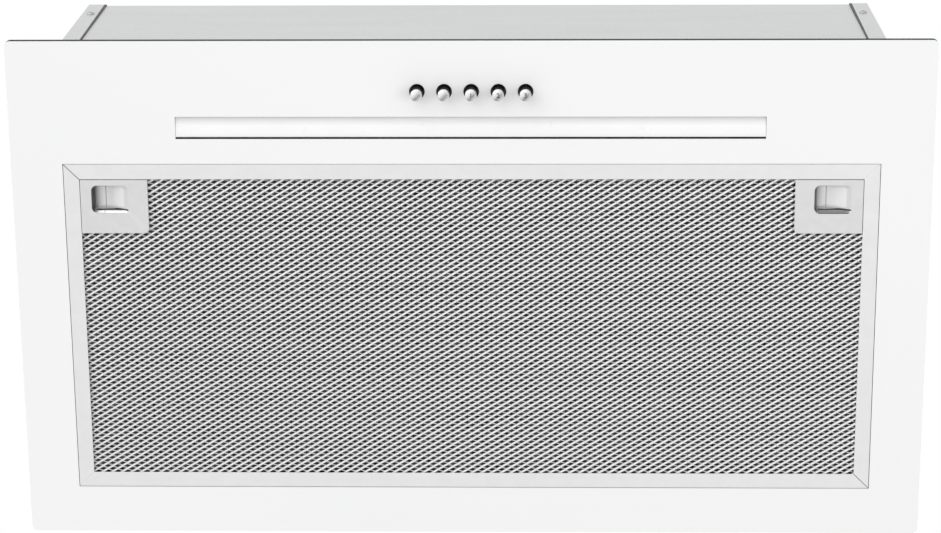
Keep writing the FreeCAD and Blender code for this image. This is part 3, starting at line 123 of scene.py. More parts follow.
soft_lamp("front_left_lamp", (-1.6, -1.8, -1.6), (0, 0, 0), 3.4, 36)
soft_lamp("low_right_lamp", (1.6, -0.3, -1.9), (0, 0, 0), 1.2, 10)
soft_lamp("high_rear_lamp", (0.8, 1.6, 2.2), (0, 0, 0.1), 1.6, 14)


# --------------------------------------------------------------------- pale floor
# A plain painted floor far below the hood, under the camera, so that nothing
# hides the hood's underside in any view.

FLOOR_Z, FLOOR_HALF_WIDTH = -4.2, 20
FLOOR_PALENESS, FLOOR_WHITE = 0.75, 0.9
NOISE_SPREAD = (0.3, 0.7)


class Value:
    """A value inside a finish's nodes, which takes the signs of arithmetic."""

    def __init__(self, finish, socket):
        self.finish = finish
        self.socket = socket

    def worked(self, operation, first, second):
        return self.finish.node("ShaderNodeMath", {"operation": operation}, {0: first, 1: second})

    def __add__(self, other):
        return self.worked("ADD", self, other)

    def __sub__(self, other):
        return self.worked("SUBTRACT", self, other)

    def __rsub__(self, other):
        return self.worked("SUBTRACT", other, self)

    def __mul__(self, other):
        return self.worked("MULTIPLY", self, other)

    def __abs__(self):
        return self.worked("ABSOLUTE", self, 0)

    def __gt__(self, other):
        return self.worked("GREATER_THAN", self, other)

    def __lt__(self, other):
        return self.worked("LESS_THAN", self, other)

    def repeated_every(self, step):
        return self.worked("FLOORED_MODULO", self, step)

    def at_most(self, limit):
        return self.worked("MINIMUM", self, limit)

    def at_least(self, limit):
        return self.worked("MAXIMUM", self, limit)

    __radd__ = __add__
    __rmul__ = __mul__


class Finish:
    """A surface finish, made for one of the record's material slots."""

    def __init__(self, slot, **constants):
        self.slot = slot
        self.material = bpy.data.materials.new(slot + "_finish")
        self.material.use_nodes = True
        self.tree = self.material.node_tree
        self.tree.nodes.clear()
        self.shader = self.tree.nodes.new("ShaderNodeBsdfPrincipled")
        output = self.tree.nodes.new("ShaderNodeOutputMaterial")
        self.tree.links.new(self.shader.outputs[0], output.inputs[0])
        for socket, value in constants.items():
            self.set(socket.replace("_", " "), value)
        self.place = self.node("ShaderNodeTexCoord", {}, {}, "Object")

    def feed(self, socket, value):
        if isinstance(value, Value):
            self.tree.links.new(value.socket, socket)
        elif socket.type == "RGBA" and len(value) == 3:
            socket.default_value = (*value, 1)
        else:
            socket.default_value = value

    def set(self, socket, value):
        self.feed(self.shader.inputs[socket], value)
        return self

    def node(self, kind, settings, inputs, output=0):
        made = self.tree.nodes.new(kind)
        for name, value in settings.items():
            setattr(made, name, value)
        for name, value in inputs.items():
            self.feed(made.inputs[name], value)
        return Value(self, made.outputs[output])

    def along(self, axis):
        """The place on one axis of the hood, in millimetres."""
        return self.node("ShaderNodeSeparateXYZ", {}, {"Vector": self.place}, axis) * (1 / MM)

    def mixed(self, share, first, second):
        return self.node("ShaderNodeMix", {"data_type": "RGBA"}, {0: share, 6: first, 7: second}, 2)

    def cloudy(self, scale, low=0.0, high=1.0, detail=2, stretch=(1, 1, 1)):
        """Smooth noise over the piece, from a low to a high value."""
        place = self.node("ShaderNodeMapping", {}, {"Vector": self.place, "Scale": stretch})
        clouds = self.node("ShaderNodeTexNoise", {},
                           {"Vector": place, "Scale": scale, "Detail": detail})
        return self.node("ShaderNodeMapRange", {}, {
            "Value": clouds, "From Min": NOISE_SPREAD[0], "From Max": NOISE_SPREAD[1],
            "To Min": low, "To Max": high})

    def bump(self, height, depth, strength):
        return self.set("Normal", self.node("ShaderNodeBump", {}, {
            "Height": height, "Distance": depth, "Strength": strength}))


def painted(slot, dark, light, roughness, grain=25, skin_scale=1800, skin_depth=0.00002,
            **constants):
    """A plain coloured finish with faint clouds in its colour and a fine skin."""
    finish = Finish(slot, **constants)
    finish.set("Base Color", finish.mixed(finish.cloudy(grain), dark, light))
    finish.set("Roughness", finish.cloudy(grain * 3, roughness * 0.9, roughness * 1.1))
    return finish.bump(finish.cloudy(skin_scale, detail=3), skin_depth, 0.5)


floor_finish = painted("floor", (0.89, 0.89, 0.89), (0.91, 0.91, 0.91), 0.8, grain=0.5,
                       skin_scale=40)
seen = floor_finish.node("ShaderNodeLightPath", {}, {}, "Is Camera Ray") * FLOOR_PALENESS
pale = floor_finish.node("ShaderNodeEmission", {}, {"Color": (1, 1, 1), "Strength": FLOOR_WHITE})
lit = Value(floor_finish, floor_finish.shader.outputs[0])
surface = floor_finish.node("ShaderNodeMixShader", {}, {0: seen, 1: lit, 2: pale})
floor_finish.tree.links.new(surface.socket, floor_finish.tree.nodes["Material Output"].inputs[0])
bm = bmesh.new()
bmesh.ops.create_grid(bm, x_segments=1, y_segments=1, size=FLOOR_HALF_WIDTH)
bmesh.ops.translate(bm, verts=bm.verts, vec=(0, 0, FLOOR_Z))
floor_mesh = bpy.data.meshes.new("floor")
bm.to_mesh(floor_mesh)
bm.free()
floor_mesh.materials.append(floor_finish.material)
floor = bpy.data.objects.new("floor", floor_mesh)
bpy.context.collection.objects.link(floor)


# ------------------------------------------------------------------ glass fascia
# One panel of toughened glass, painted white on its back and round the filter. The
# ground outer edge and the button holes are bare and look dark. The wall at the light's
# rear edge is made dark too, as painted shade of the gap behind the lens.

FASCIA_CORNER = 3.0
FASCIA_ARRIS, ARRIS_ANGLE = 0.25, math.radians(40)
FILTER_GAP = 0.3
LIGHT_SLOT_HALF = (166.0, 6.4)
LIGHT_Y = -97.5
BUTTON_HOLE = 4.4
BUTTON_Y = -118.4
BUTTON_MIDDLE_X, BUTTON_STEP = 0.9, 15.2
BUTTON_X = [BUTTON_MIDDLE_X + BUTTON_STEP * step for step in (-2, -1, 0, 1, 2)]


def millimetre_box(*nodes):
    """The lowest and highest corners of CAD nodes together, in millimetres."""
    corners = [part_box(node) for node in nodes]
    return (Vector(min(low[axis] for low, high in corners) / MM for axis in range(3)),
            Vector(max(high[axis] for low, high in corners) / MM for axis in range(3)))


def move_by(bm, verts, x=0.0, y=0.0, z=0.0):
    bmesh.ops.translate(bm, verts=verts, vec=(x * MM, y * MM, z * MM))


def rectangle_edges(bm, low, high, z, corner=0.0, steps=6, rounded=lambda place: True):
    """The outline of a rectangle, with the corners that are named rounded to a radius."""
    before = set(bm.faces)
    made = bmesh.ops.create_grid(bm, x_segments=1, y_segments=1, size=1)
    bmesh.ops.scale(bm, verts=made["verts"],
                    vec=((high[0] - low[0]) / 2 * MM, (high[1] - low[1]) / 2 * MM, 1))
    move_by(bm, made["verts"], (high[0] + low[0]) / 2, (high[1] + low[1]) / 2, z)
    if corner:
        corners = [vert for vert in made["verts"] if rounded(vert.co)]
        bmesh.ops.bevel(bm, geom=corners, offset=corner * MM, offset_type="OFFSET",
                        segments=steps, profile=0.5, affect="VERTICES", material=-1)
    face = [one for one in bm.faces if one not in before]
    edges = list(face[0].edges)
    bmesh.ops.delete(bm, geom=face, context="FACES_ONLY")
    return edges


def circle_edges(bm, x, y, z, radius):
    """The outline of a round hole."""
    made = bmesh.ops.create_circle(bm, cap_ends=False, segments=40, radius=radius * MM)
    move_by(bm, made["verts"], x, y, z)
    return list(dict.fromkeys(edge for vert in made["verts"] for edge in vert.link_edges))


def draw_out(bm, x=0.0, z=0.0):
    """Draw every face out by a distance, so that a sheet becomes a closed solid."""
    drawn = bmesh.ops.extrude_face_region(bm, geom=bm.faces[:])
    move_by(bm, [one for one in drawn["geom"] if isinstance(one, bmesh.types.BMVert)], x, 0, z)
    bmesh.ops.recalc_face_normals(bm, faces=bm.faces)


def as_mesh(bm, name):
    """The finished shape as a mesh."""
    mesh = bpy.data.meshes.new(name)
    bm.to_mesh(mesh)
    bm.free()
    return mesh


def as_piece(bm, name, finishes, body, *nodes, smooth=30):
    """Make a finished piece that rides on a body and stands for CAD nodes."""
    mesh = as_mesh(bm, name)
    mesh.shade_smooth()
    mesh.set_sharp_from_angle(angle=math.radians(smooth))
    piece = bpy.data.objects.new(name, mesh)
    bpy.context.collection.objects.link(piece)
    for finish in finishes:
        mesh.materials.append(finish.material)
    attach(piece, body)
    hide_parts(*nodes)
    return piece


glass_front = Finish("white_glass", Coat_Weight=0.6, Coat_Roughness=0.02)
glass_front.set("Base Color", glass_front.mixed(
    glass_front.cloudy(3), (0.93, 0.932, 0.934), (0.952, 0.954, 0.952)))
glass_front.set("Roughness", glass_front.cloudy(40, 0.05, 0.08))
glass_front.bump(glass_front.cloudy(60), 0.00001, 0.15)
bare_edge_and_gap_shade = Finish("white_glass", Specular_IOR_Level=0.05)
bare_edge_and_gap_shade.set("Base Color", bare_edge_and_gap_shade.mixed(
    bare_edge_and_gap_shade.cloudy(900), (0.014, 0.017, 0.017), (0.028, 0.032, 0.031)))
bare_edge_and_gap_shade.set("Roughness", bare_edge_and_gap_shade.cloudy(1500, 0.4, 0.55))
hole_edge = Finish("white_glass", Specular_IOR_Level=0.2)
hole_edge.set("Base Color", hole_edge.mixed(
    hole_edge.cloudy(900), (0.17, 0.175, 0.175), (0.23, 0.235, 0.235)))
hole_edge.set("Roughness", hole_edge.cloudy(1500, 0.4, 0.55))

fascia_low, fascia_high = millimetre_box("fascia_panel")
filter_low, filter_high = millimetre_box("filter_frame_front", "filter_frame_rear")
bm = bmesh.new()
edges = rectangle_edges(bm, fascia_low, fascia_high, fascia_low.z, FASCIA_CORNER)
gap = Vector((FILTER_GAP, FILTER_GAP, 0))
edges += rectangle_edges(bm, filter_low - gap, filter_high + gap, fascia_low.z)
edges += rectangle_edges(bm, (-LIGHT_SLOT_HALF[0], LIGHT_Y - LIGHT_SLOT_HALF[1]),
                         (LIGHT_SLOT_HALF[0], LIGHT_Y + LIGHT_SLOT_HALF[1]), fascia_low.z)
for x in BUTTON_X:
    edges += circle_edges(bm, x, BUTTON_Y, fascia_low.z, BUTTON_HOLE)
bmesh.ops.triangle_fill(bm, use_beauty=True, edges=edges, normal=(0, 0, 1))
draw_out(bm, z=fascia_high.z - fascia_low.z)
bmesh.ops.dissolve_limit(bm, angle_limit=math.radians(0.5), verts=bm.verts, edges=bm.edges)
sharp = [edge for edge in bm.edges if edge.calc_face_angle(0) > ARRIS_ANGLE]
bmesh.ops.bevel(bm, geom=sharp, offset=FASCIA_ARRIS * MM, offset_type="OFFSET", segments=2,
                profile=0.5, affect="EDGES", material=-1, clamp_overlap=True)
for face in bm.faces:
    x, y, z = face.calc_center_median() / MM
    outside = abs(x) > fascia_high.x - 1 or abs(y) > fascia_high.y - 1
    behind_light = abs(y - LIGHT_Y - LIGHT_SLOT_HALF[1]) < 1
    in_button_hole = abs(y - BUTTON_Y) < BUTTON_HOLE
    if abs(face.normal.z) > 0.4:
        face.material_index = 0
    # The wall at the light's rear edge takes the dark finish as painted shade of the gap behind the
    # lens.
    elif outside or behind_light:
        face.material_index = 1
    elif in_button_hole:
        face.material_index = 2
as_piece(bm, "fascia_glass", (glass_front, bare_edge_and_gap_shade, hole_edge), "hood", "fascia_panel",
         smooth=20)


# ---------------------------------------------------------- steel tray and seat
# White powder coated sheet behind the glass, and the strips of the filter's seat
# that are spot welded on it.

SHEET_EDGE = 0.2


def dress(finish, *nodes, edge):
    """Give CAD nodes a finish, and round their sharp edges with modifiers alone."""
    for name in nodes:
        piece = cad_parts[name]
        piece.material_slots[0].material = finish.material
        weld = piece.modifiers.new("weld", "WELD")
        weld.merge_threshold = 0.01 * MM
        flat = piece.modifiers.new("flat", "DECIMATE")
        flat.decimate_type = "DISSOLVE"
        flat.angle_limit = math.radians(0.5)
        rounded = piece.modifiers.new("edges", "BEVEL")
        rounded.width = edge * MM
        rounded.segments = 2
        rounded.limit_method = "ANGLE"
        rounded.angle_limit = math.radians(50)


powder_coat = painted("white_paint", (0.80, 0.80, 0.79), (0.85, 0.85, 0.84), 0.45,
                      skin_depth=0.00003)
dress(powder_coat, "base_tray", "filter_seat_front", "filter_seat_rim", edge=SHEET_EDGE)


# ------------------------------------------------------------------------ housing
# Galvanised sheet: two folded sides, a front and a rear plate and a top plate.
# The zinc shows fine crystals and faint rolling marks, and the sheared ends of the
# side flanges are bare dark steel, in a band that widens upward as painted shade of
# the step between each flange and the plate behind it.

FLANGE_END_X, STEP_SHADE_FLARE, FLANGE_BACK_Y = 229.4, 0.007, 131.75

zinc = Finish("galvanised", Metallic=0.6)
crystal = zinc.node("ShaderNodeTexVoronoi", {}, {"Vector": zinc.place, "Scale": 700.0}, "Color")
crystal = zinc.node("ShaderNodeSeparateColor", {}, {"Color": crystal})
rolling = zinc.cloudy(60, 0, 0.25, 3, (0.15, 1, 1))
zinc_skin = zinc.mixed(crystal * 0.4 + rolling + zinc.cloudy(900, 0, 0.25, 3),
                       (0.60, 0.605, 0.61), (0.71, 0.715, 0.72))
# Dark band at the flange ends: bare steel, widened upward as painted shade of the step.
dark_band_edge = zinc.along("Z") * STEP_SHADE_FLARE + FLANGE_END_X
bare_end_and_step_shade = (abs(zinc.along("X")) < dark_band_edge) * (abs(zinc.along("Y")) > FLANGE_BACK_Y)
zinc.set("Base Color", zinc.mixed(bare_end_and_step_shade, zinc_skin, (0.045, 0.045, 0.045)))
zinc.set("Roughness", crystal * 0.1 + 0.42)
zinc.bump(crystal + zinc.cloudy(900), 0.00001, 0.3)
dress(zinc, "housing_left_side", "housing_right_side", "housing_front_plate",
      "housing_rear_plate", "housing_top_plate", edge=SHEET_EDGE)


# ------------------------------------------------------------------------- screws
# Zinc plated pan heads with a cross recess and a rolled thread. Four hold the
# housing together, four hold the outlet and three hold the motor.

THREAD_PITCH = 0.8

plated = Finish("screw_steel", Metallic=1.0)
plated.set("Base Color", plated.mixed(plated.cloudy(1500), (0.42, 0.43, 0.44), (0.55, 0.55, 0.56)))
plated.set("Roughness", plated.cloudy(2500, 0.34, 0.5, 3))
plated.bump(plated.cloudy(3000), 0.00001, 0.3)


def turned(bm, profile, steps):
    """Spin a profile of radii and heights round the Z axis into a closed shape."""
    verts = [bm.verts.new((radius * MM, 0, z * MM)) for radius, z in profile]
    chain = [bm.edges.new(pair) for pair in zip(verts, verts[1:])]
    if profile[0][0] and profile[-1][0]:
        chain.append(bm.edges.new((verts[-1], verts[0])))
    bmesh.ops.spin(bm, geom=verts + chain, cent=(0, 0, 0), axis=(0, 0, 1), steps=steps,
                   angle=math.tau, use_merge=True)
    bmesh.ops.remove_doubles(bm, verts=bm.verts, dist=0.001 * MM)
    bmesh.ops.recalc_face_normals(bm, faces=bm.faces)


def cut_away(bm, cutter):
    """The first shape, with a second one of closed parts cut from it."""
    body = bpy.data.objects.new("blank", as_mesh(bm, "blank"))
    tool = bpy.data.objects.new("cutter", as_mesh(cutter, "cutter"))
    for one in (body, tool):
        bpy.context.collection.objects.link(one)
    cut = body.modifiers.new("cut", "BOOLEAN")
    cut.operation = "DIFFERENCE"
    cut.solver = "EXACT"
    cut.use_self = True
    cut.object = tool
    shapes = bpy.context.evaluated_depsgraph_get()
    shapes.update()
    result = bmesh.new()
    result.from_mesh(body.evaluated_get(shapes).to_mesh())
    for one in (body, tool):
        bpy.data.objects.remove(one)
    return result


def pan_head_screw(head_radius, head_height, shank_radius, length):
    """A screw along Z with the seat of its head at the origin."""
    profile = [(0, head_height), (head_radius * 0.45, head_height * 0.96),
               (head_radius * 0.8, head_height * 0.75), (head_radius * 0.97, head_height * 0.4),
               (head_radius, head_height * 0.12), (head_radius * 0.97, 0),
               (shank_radius * 0.98, 0)]
    z = -THREAD_PITCH / 2
    while z > 1.2 - length:
        profile += [(shank_radius * 0.82, z), (shank_radius * 0.98, z - THREAD_PITCH / 2)]
        z -= THREAD_PITCH
    profile += [(shank_radius * 0.7, 0.6 - length), (0, -length)]
    bm = bmesh.new()
    turned(bm, profile, 28)
    cross = bmesh.new()
    long_arm, short_arm, depth = head_radius * 0.62, head_radius * 0.17, head_height * 0.4
    for x, y in ((long_arm, short_arm), (short_arm, long_arm)):
        arm = bmesh.ops.create_cube(cross, size=2)["verts"]
        bmesh.ops.scale(cross, verts=arm, vec=(x * MM, y * MM, depth * MM))
        bmesh.ops.scale(cross, verts=[vert for vert in arm if vert.co.z < 0], vec=(0.6, 0.6, 1))
        move_by(cross, arm, z=head_height * 0.95)
    return as_mesh(cut_away(bm, cross), "screw")


def drive_screws(name, screw, places, ways, *nodes):
    """Copies of one screw at their places, each with its head looking its way."""
    bm = bmesh.new()
    for place, way in zip(places, ways):
        before = len(bm.verts)
        bm.from_mesh(screw)
        turn = Vector(way).to_track_quat("Z", "Y").to_matrix().to_4x4()
        bmesh.ops.transform(bm, matrix=Matrix.Translation(Vector(place) * MM) @ turn,
                            verts=bm.verts[before:])
    bpy.data.meshes.remove(screw)
    as_piece(bm, name, (plated,), "hood", *nodes)


FRONTWARD, REARWARD, UPWARD, RIGHTWARD = (0, -1, 0), (0, 1, 0), (0, 0, 1), (1, 0, 0)
HOUSING_SCREW = (2.3, 1.4, 1.5, 6.0)
OUTLET_SCREW = (3.2, 2.0, 1.8, 7.3)
MOTOR_SCREW = (3.2, 2.0, 1.8, 7.5)
HOUSING_SCREW_AT, OUTLET_SCREW_AT = (234.5, 132.5, 138), (68, 41.5, 167.5)
SHAFT_Y, SHAFT_Z = -31.0, 100.2
BRACKET_RADIUS, BRACKET_FACE_X = 48.5, 66.5


def four_corners(x, y, z):
    """Places at the left front, left rear, right front and right rear."""
    return [(side * x, end * y, z) for side in (-1, 1) for end in (-1, 1)]


drive_screws("housing_pan_screws", pan_head_screw(*HOUSING_SCREW),
             four_corners(*HOUSING_SCREW_AT), [FRONTWARD, REARWARD] * 2, "housing_screws")
drive_screws("outlet_pan_screws", pan_head_screw(*OUTLET_SCREW),
             four_corners(*OUTLET_SCREW_AT), [UPWARD] * 4, "outlet_screws")
arm_angles = [math.radians(angle) for angle in (90, 210, 330)]
drive_screws("motor_pan_screws", pan_head_screw(*MOTOR_SCREW),
             [(BRACKET_FACE_X, SHAFT_Y + BRACKET_RADIUS * math.cos(angle),
               SHAFT_Z + BRACKET_RADIUS * math.sin(angle)) for angle in arm_angles],
             [RIGHTWARD] * 3, "motor_screws")


# ------------------------------------------------- outlet collar, flaps and pin
# Moulded grey plastic collar for a round duct. Two half round flaps hang on one
# steel pin across it and fall shut when the blower stops.

MOULDED = {"grain": 40, "skin_depth": 0.00004}

grey_plastic = painted("grey_plastic", (0.27, 0.27, 0.29), (0.32, 0.32, 0.34), 0.5,
                       skin_scale=1200, **MOULDED)
dress(grey_plastic, "outlet_collar", edge=0.5)
dress(grey_plastic, "flap_rear", "flap_front", edge=0.2)
dress(plated, "flap_pin", edge=0.2)


# ------------------------------------------------------------- blower and motor
# Black moulded scroll in two shells, a squirrel cage wheel of zinc coated sheet
# pressed on the shaft, and a motor on a three armed bracket with rubber grommets.

black_plastic = painted("black_plastic", (0.035, 0.035, 0.038), (0.055, 0.055, 0.06), 0.42,
                        skin_scale=1400, **MOULDED)
motor_varnish = painted("motor_paint", (0.075, 0.075, 0.08), (0.12, 0.12, 0.125), 0.35, grain=60,
                        skin_scale=900)
rubber = painted("grommet_rubber", (0.03, 0.03, 0.03), (0.05, 0.05, 0.05), 0.75, grain=80,
                 skin_scale=2500)
shaft_steel = Finish("shaft_steel", Metallic=1.0)
shaft_steel.set("Base Color", shaft_steel.mixed(
    shaft_steel.cloudy(500, stretch=(4, 1, 1)), (0.52, 0.52, 0.54), (0.66, 0.66, 0.67)))
shaft_steel.set("Roughness", shaft_steel.cloudy(2000, 0.18, 0.34))
dress(black_plastic, "scroll_left_shell", "scroll_right_shell", edge=0.4)
dress(motor_varnish, "motor", edge=0.8)
dress(zinc, "wheel_disc", "wheel_end_rings", "wheel_blades", edge=0.2)
dress(zinc, "motor_bracket", edge=0.3)
dress(rubber, "motor_grommets", edge=0.4)
dress(shaft_steel, "motor_shaft", edge=0.3)


# ------------------------------------------------ control box and mains parts
# Black box with its lid under the top plate, holding the motor's capacitor and
# the terminal block. The mains lead would enter through the gland above it.

white_plastic = painted("white_plastic", (0.82, 0.82, 0.80), (0.87, 0.87, 0.85), 0.4, grain=60,
                        skin_scale=1400)
dress(black_plastic, "control_box", "control_box_lid", edge=0.6)
dress(white_plastic, "motor_capacitor", "terminal_block", "led_driver", edge=0.5)
dress(black_plastic, "cable_gland", "gland_nut", edge=0.4)


# ------------------------------------------------------------------- light strip
# An opal lens snaps into the slot of the fascia. Behind it an aluminium trough
# carries a board with a row of yellow phosphor chips.

LENS_END_X = 165.9
LENS_LIP_Y, LENS_LIP_Z = (-105.4, -89.6), (1.05, 2.05)
LENS_BODY_Y = (-103.8, -91.9)
LENS_FACE_Z, LENS_FRONT_Z, LENS_ROLL_Y = -3.5, -1.9, -98.6
LENS_ROUNDINGS = ((3, 0.8, 3), (4, 4.0, 8), (5, 0.6, 4))
LENS_HOLLOW = ((-164.3, -102.2, -0.3), (164.3, -93.5, 3.0))
LENS_SHADE = 0.19
MITRE_HALF_WIDTH, MITRE_SHADE = 0.32, 0.8


def block(bm, low, high):
    """A square block between two corners, in millimetres."""
    verts = bmesh.ops.create_cube(bm, size=1)["verts"]
    bmesh.ops.scale(bm, verts=verts, vec=[(high[axis] - low[axis]) * MM for axis in range(3)])
    move_by(bm, verts, *((high[axis] + low[axis]) / 2 for axis in range(3)))


opal = Finish("opal_plastic")
# The lens is painted darker towards its front edge, as painted shade under the slot's front wall.
painted_front_shade = ((LENS_ROLL_Y - opal.along("Y")) * LENS_SHADE).at_least(0).at_most(1)
opal_skin = opal.mixed(opal.cloudy(60), (0.965, 0.965, 0.965), (0.985, 0.985, 0.985))
opal.set("Base Color", opal.mixed(painted_front_shade, opal_skin, (0.70, 0.70, 0.70)))
opal.set("Roughness", opal.cloudy(180, 0.27, 0.33))
opal.bump(opal.cloudy(1500), 0.00002, 0.5)
bm = bmesh.new()
section = [(LENS_LIP_Y[0], LENS_LIP_Z[1]), (LENS_LIP_Y[0], LENS_LIP_Z[0]),
           (LENS_BODY_Y[0], LENS_LIP_Z[0]), (LENS_BODY_Y[0], LENS_FRONT_Z),
           (LENS_ROLL_Y, LENS_FACE_Z), (LENS_BODY_Y[1], LENS_FACE_Z),
           (LENS_BODY_Y[1], LENS_LIP_Z[0]), (LENS_LIP_Y[1], LENS_LIP_Z[0]),
           (LENS_LIP_Y[1], LENS_LIP_Z[1])]
verts = [bm.verts.new((-LENS_END_X * MM, y * MM, z * MM)) for y, z in section]
bm.faces.new(verts)
for corner, radius, steps in LENS_ROUNDINGS:
    bmesh.ops.bevel(bm, geom=[verts[corner]], offset=radius * MM, offset_type="OFFSET",
                    segments=steps, profile=0.5, affect="VERTICES", material=-1)
draw_out(bm, x=2 * LENS_END_X)
hollow = bmesh.new()
block(hollow, *LENS_HOLLOW)
as_piece(cut_away(bm, hollow), "opal_lens", (opal,), "hood", "light_diffuser")

board_green = painted("circuit_board", (0.06, 0.22, 0.10), (0.10, 0.30, 0.14), 0.35, grain=300,
                      skin_scale=900)
phosphor = painted("led_yellow", (0.85, 0.72, 0.25), (0.95, 0.85, 0.40), 0.3, grain=900,
                   skin_scale=3000)

# The filter's bars have this finish too. Along two of their mitres a dark line is painted, as
# painted shade of open mitre gaps.
anodised = Finish("filter_aluminium", Metallic=0.4)
rearward = anodised.along("Y")
diagonal = anodised.along("X") - rearward
mitre_shade_lines = [abs(diagonal - (corner.x - corner.y)) < MITRE_HALF_WIDTH
               for corner in (filter_low, filter_high)]
front_mitre_shade = mitre_shade_lines[0] * (rearward > filter_low.y) * (rearward < 0)
rear_mitre_shade = mitre_shade_lines[1] * (rearward > 0)
anodised_skin = anodised.mixed(anodised.cloudy(120), (0.87, 0.872, 0.875), (0.90, 0.90, 0.90))
anodised.set("Base Color", anodised.mixed(
    front_mitre_shade.at_least(rear_mitre_shade) * MITRE_SHADE, anodised_skin, (0.04, 0.04, 0.04)))
anodised.set("Roughness", anodised.cloudy(900, 0.32, 0.42))
anodised.bump(anodised.cloudy(1500), 0.00001, 0.4)
dress(anodised, "light_trough", edge=0.3)
dress(board_green, "led_board", "switch_board", edge=0.15)
dress(phosphor, "led_chips", edge=0.1)


# --------------------------------------------------------- buttons and switches
# Five satin chrome caps stand out of round holes in the glass. A coil spring
# under each flange returns it from the switch bank behind.

SHADE_BAND_AT, SHADE_BAND_HALF_WIDTH = 1.364, 3.247
CAP_TIP_Z, CAP_RADIUS, CAP_CROWN, CAP_SKIRT_Z = -14.55, 3.3, 1.0, -12.1
PLUNGER_RADIUS, STEM_RADIUS, STEM_END_Z = 3.1, 1.8, 14.1
COLLAR_RADIUS, COLLAR_Z = 5.6, (1.3, 2.6)
NEAR = 0.01
FIGURE_HEIGHT, FIGURE_RISE, FIGURE_MIDDLE_Z = 3.9, 0.4, -14.39
BUTTON_FIGURES = {3: "1", 4: "2", 5: "3"}

chrome = Finish("button_chrome", Metallic=0.35)
half_step = BUTTON_STEP / 2
first_cell_x = BUTTON_X[0] - half_step
# Each cap is painted bright towards its front left and dark in a diagonal band towards its rear
# right, as painted light and shade.
from_axis = (chrome.along("X") - first_cell_x).repeated_every(BUTTON_STEP) - half_step
from_light = from_axis + (chrome.along("Y") - BUTTON_Y)
painted_cap_shade = (1 - abs(from_light - SHADE_BAND_AT) * (1 / SHADE_BAND_HALF_WIDTH)).at_least(0)
painted_cap_shade = painted_cap_shade * chrome.cloudy(900, 0.6, 1.0, stretch=(2, 1, 1))
chrome.set("Base Color", chrome.mixed(painted_cap_shade, (0.92, 0.92, 0.92), (0.19, 0.19, 0.19)))
chrome.set("Roughness", chrome.cloudy(2500, 0.2, 0.3))
# The plunger is black plastic, made darker than the other black mouldings as painted shade deep in
# the button hole.
plunger_black_and_shade = painted("black_plastic", (0.008, 0.008, 0.009), (0.014, 0.014, 0.015), 0.6,
                        skin_scale=1400, Specular_IOR_Level=0.08, **MOULDED)
collar_grey = painted("black_plastic", (0.20, 0.20, 0.21), (0.26, 0.26, 0.27), 0.5,
                      skin_scale=1400, **MOULDED)
dress(black_plastic, "switch_bank", edge=0.4)


def raised_figure(figure, x, y, z, height, rise):
    """The mesh of a plain figure, upright for someone who looks up from the front."""
    letters = bpy.data.curves.new("figure", "FONT")
    letters.body = figure
    letters.align_x = "CENTER"
    letters.align_y = "CENTER"
    letters.extrude = rise / height / 2
    letters.resolution_u = 4
    holder = bpy.data.objects.new("figure", letters)
    bm = bmesh.new()
    bm.from_mesh(bpy.data.meshes.new_from_object(holder))
    bpy.data.objects.remove(holder)
    place = (Matrix.Translation((x * MM, y * MM, z * MM)) @ Matrix.Rotation(math.pi, 4, "X")
             @ Matrix.Scale(height * MM, 4))
    bmesh.ops.transform(bm, matrix=place, verts=bm.verts)
    bmesh.ops.remove_doubles(bm, verts=bm.verts, dist=0.001 * MM)
    for face in bm.faces:
        face.material_index = 1
    return as_mesh(bm, "figure")


for number, x in enumerate(BUTTON_X, 1):
    bm = bmesh.new()
    dome = [(CAP_RADIUS * math.sin(angle), CAP_TIP_Z + CAP_CROWN * (1 - math.cos(angle)))
            for angle in (math.radians(15 * step) for step in range(7))]
    turned(bm, [*dome, (CAP_RADIUS, CAP_SKIRT_Z),
                (PLUNGER_RADIUS, CAP_SKIRT_Z + 0.05), (PLUNGER_RADIUS, COLLAR_Z[0]),
                (COLLAR_RADIUS, COLLAR_Z[0]), (COLLAR_RADIUS, COLLAR_Z[1]),
                (STEM_RADIUS, COLLAR_Z[1]), (STEM_RADIUS, STEM_END_Z), (0, STEM_END_Z)], 40)
    move_by(bm, bm.verts, x, BUTTON_Y)
    for face in bm.faces:
        z = face.calc_center_median().z / MM
        on_collar = COLLAR_Z[0] - NEAR < z < COLLAR_Z[1] + NEAR
        face.material_index = 0 if z < CAP_SKIRT_Z else 2 if on_collar else 1
    if number in BUTTON_FIGURES:
        bm.from_mesh(raised_figure(BUTTON_FIGURES[number], x, BUTTON_Y, FIGURE_MIDDLE_Z,
                                   FIGURE_HEIGHT, FIGURE_RISE))
    as_piece(bm, f"push_cap_{number}", (chrome, plunger_black_and_shade, collar_grey), f"button_{number}",
             f"push_button_{number}")

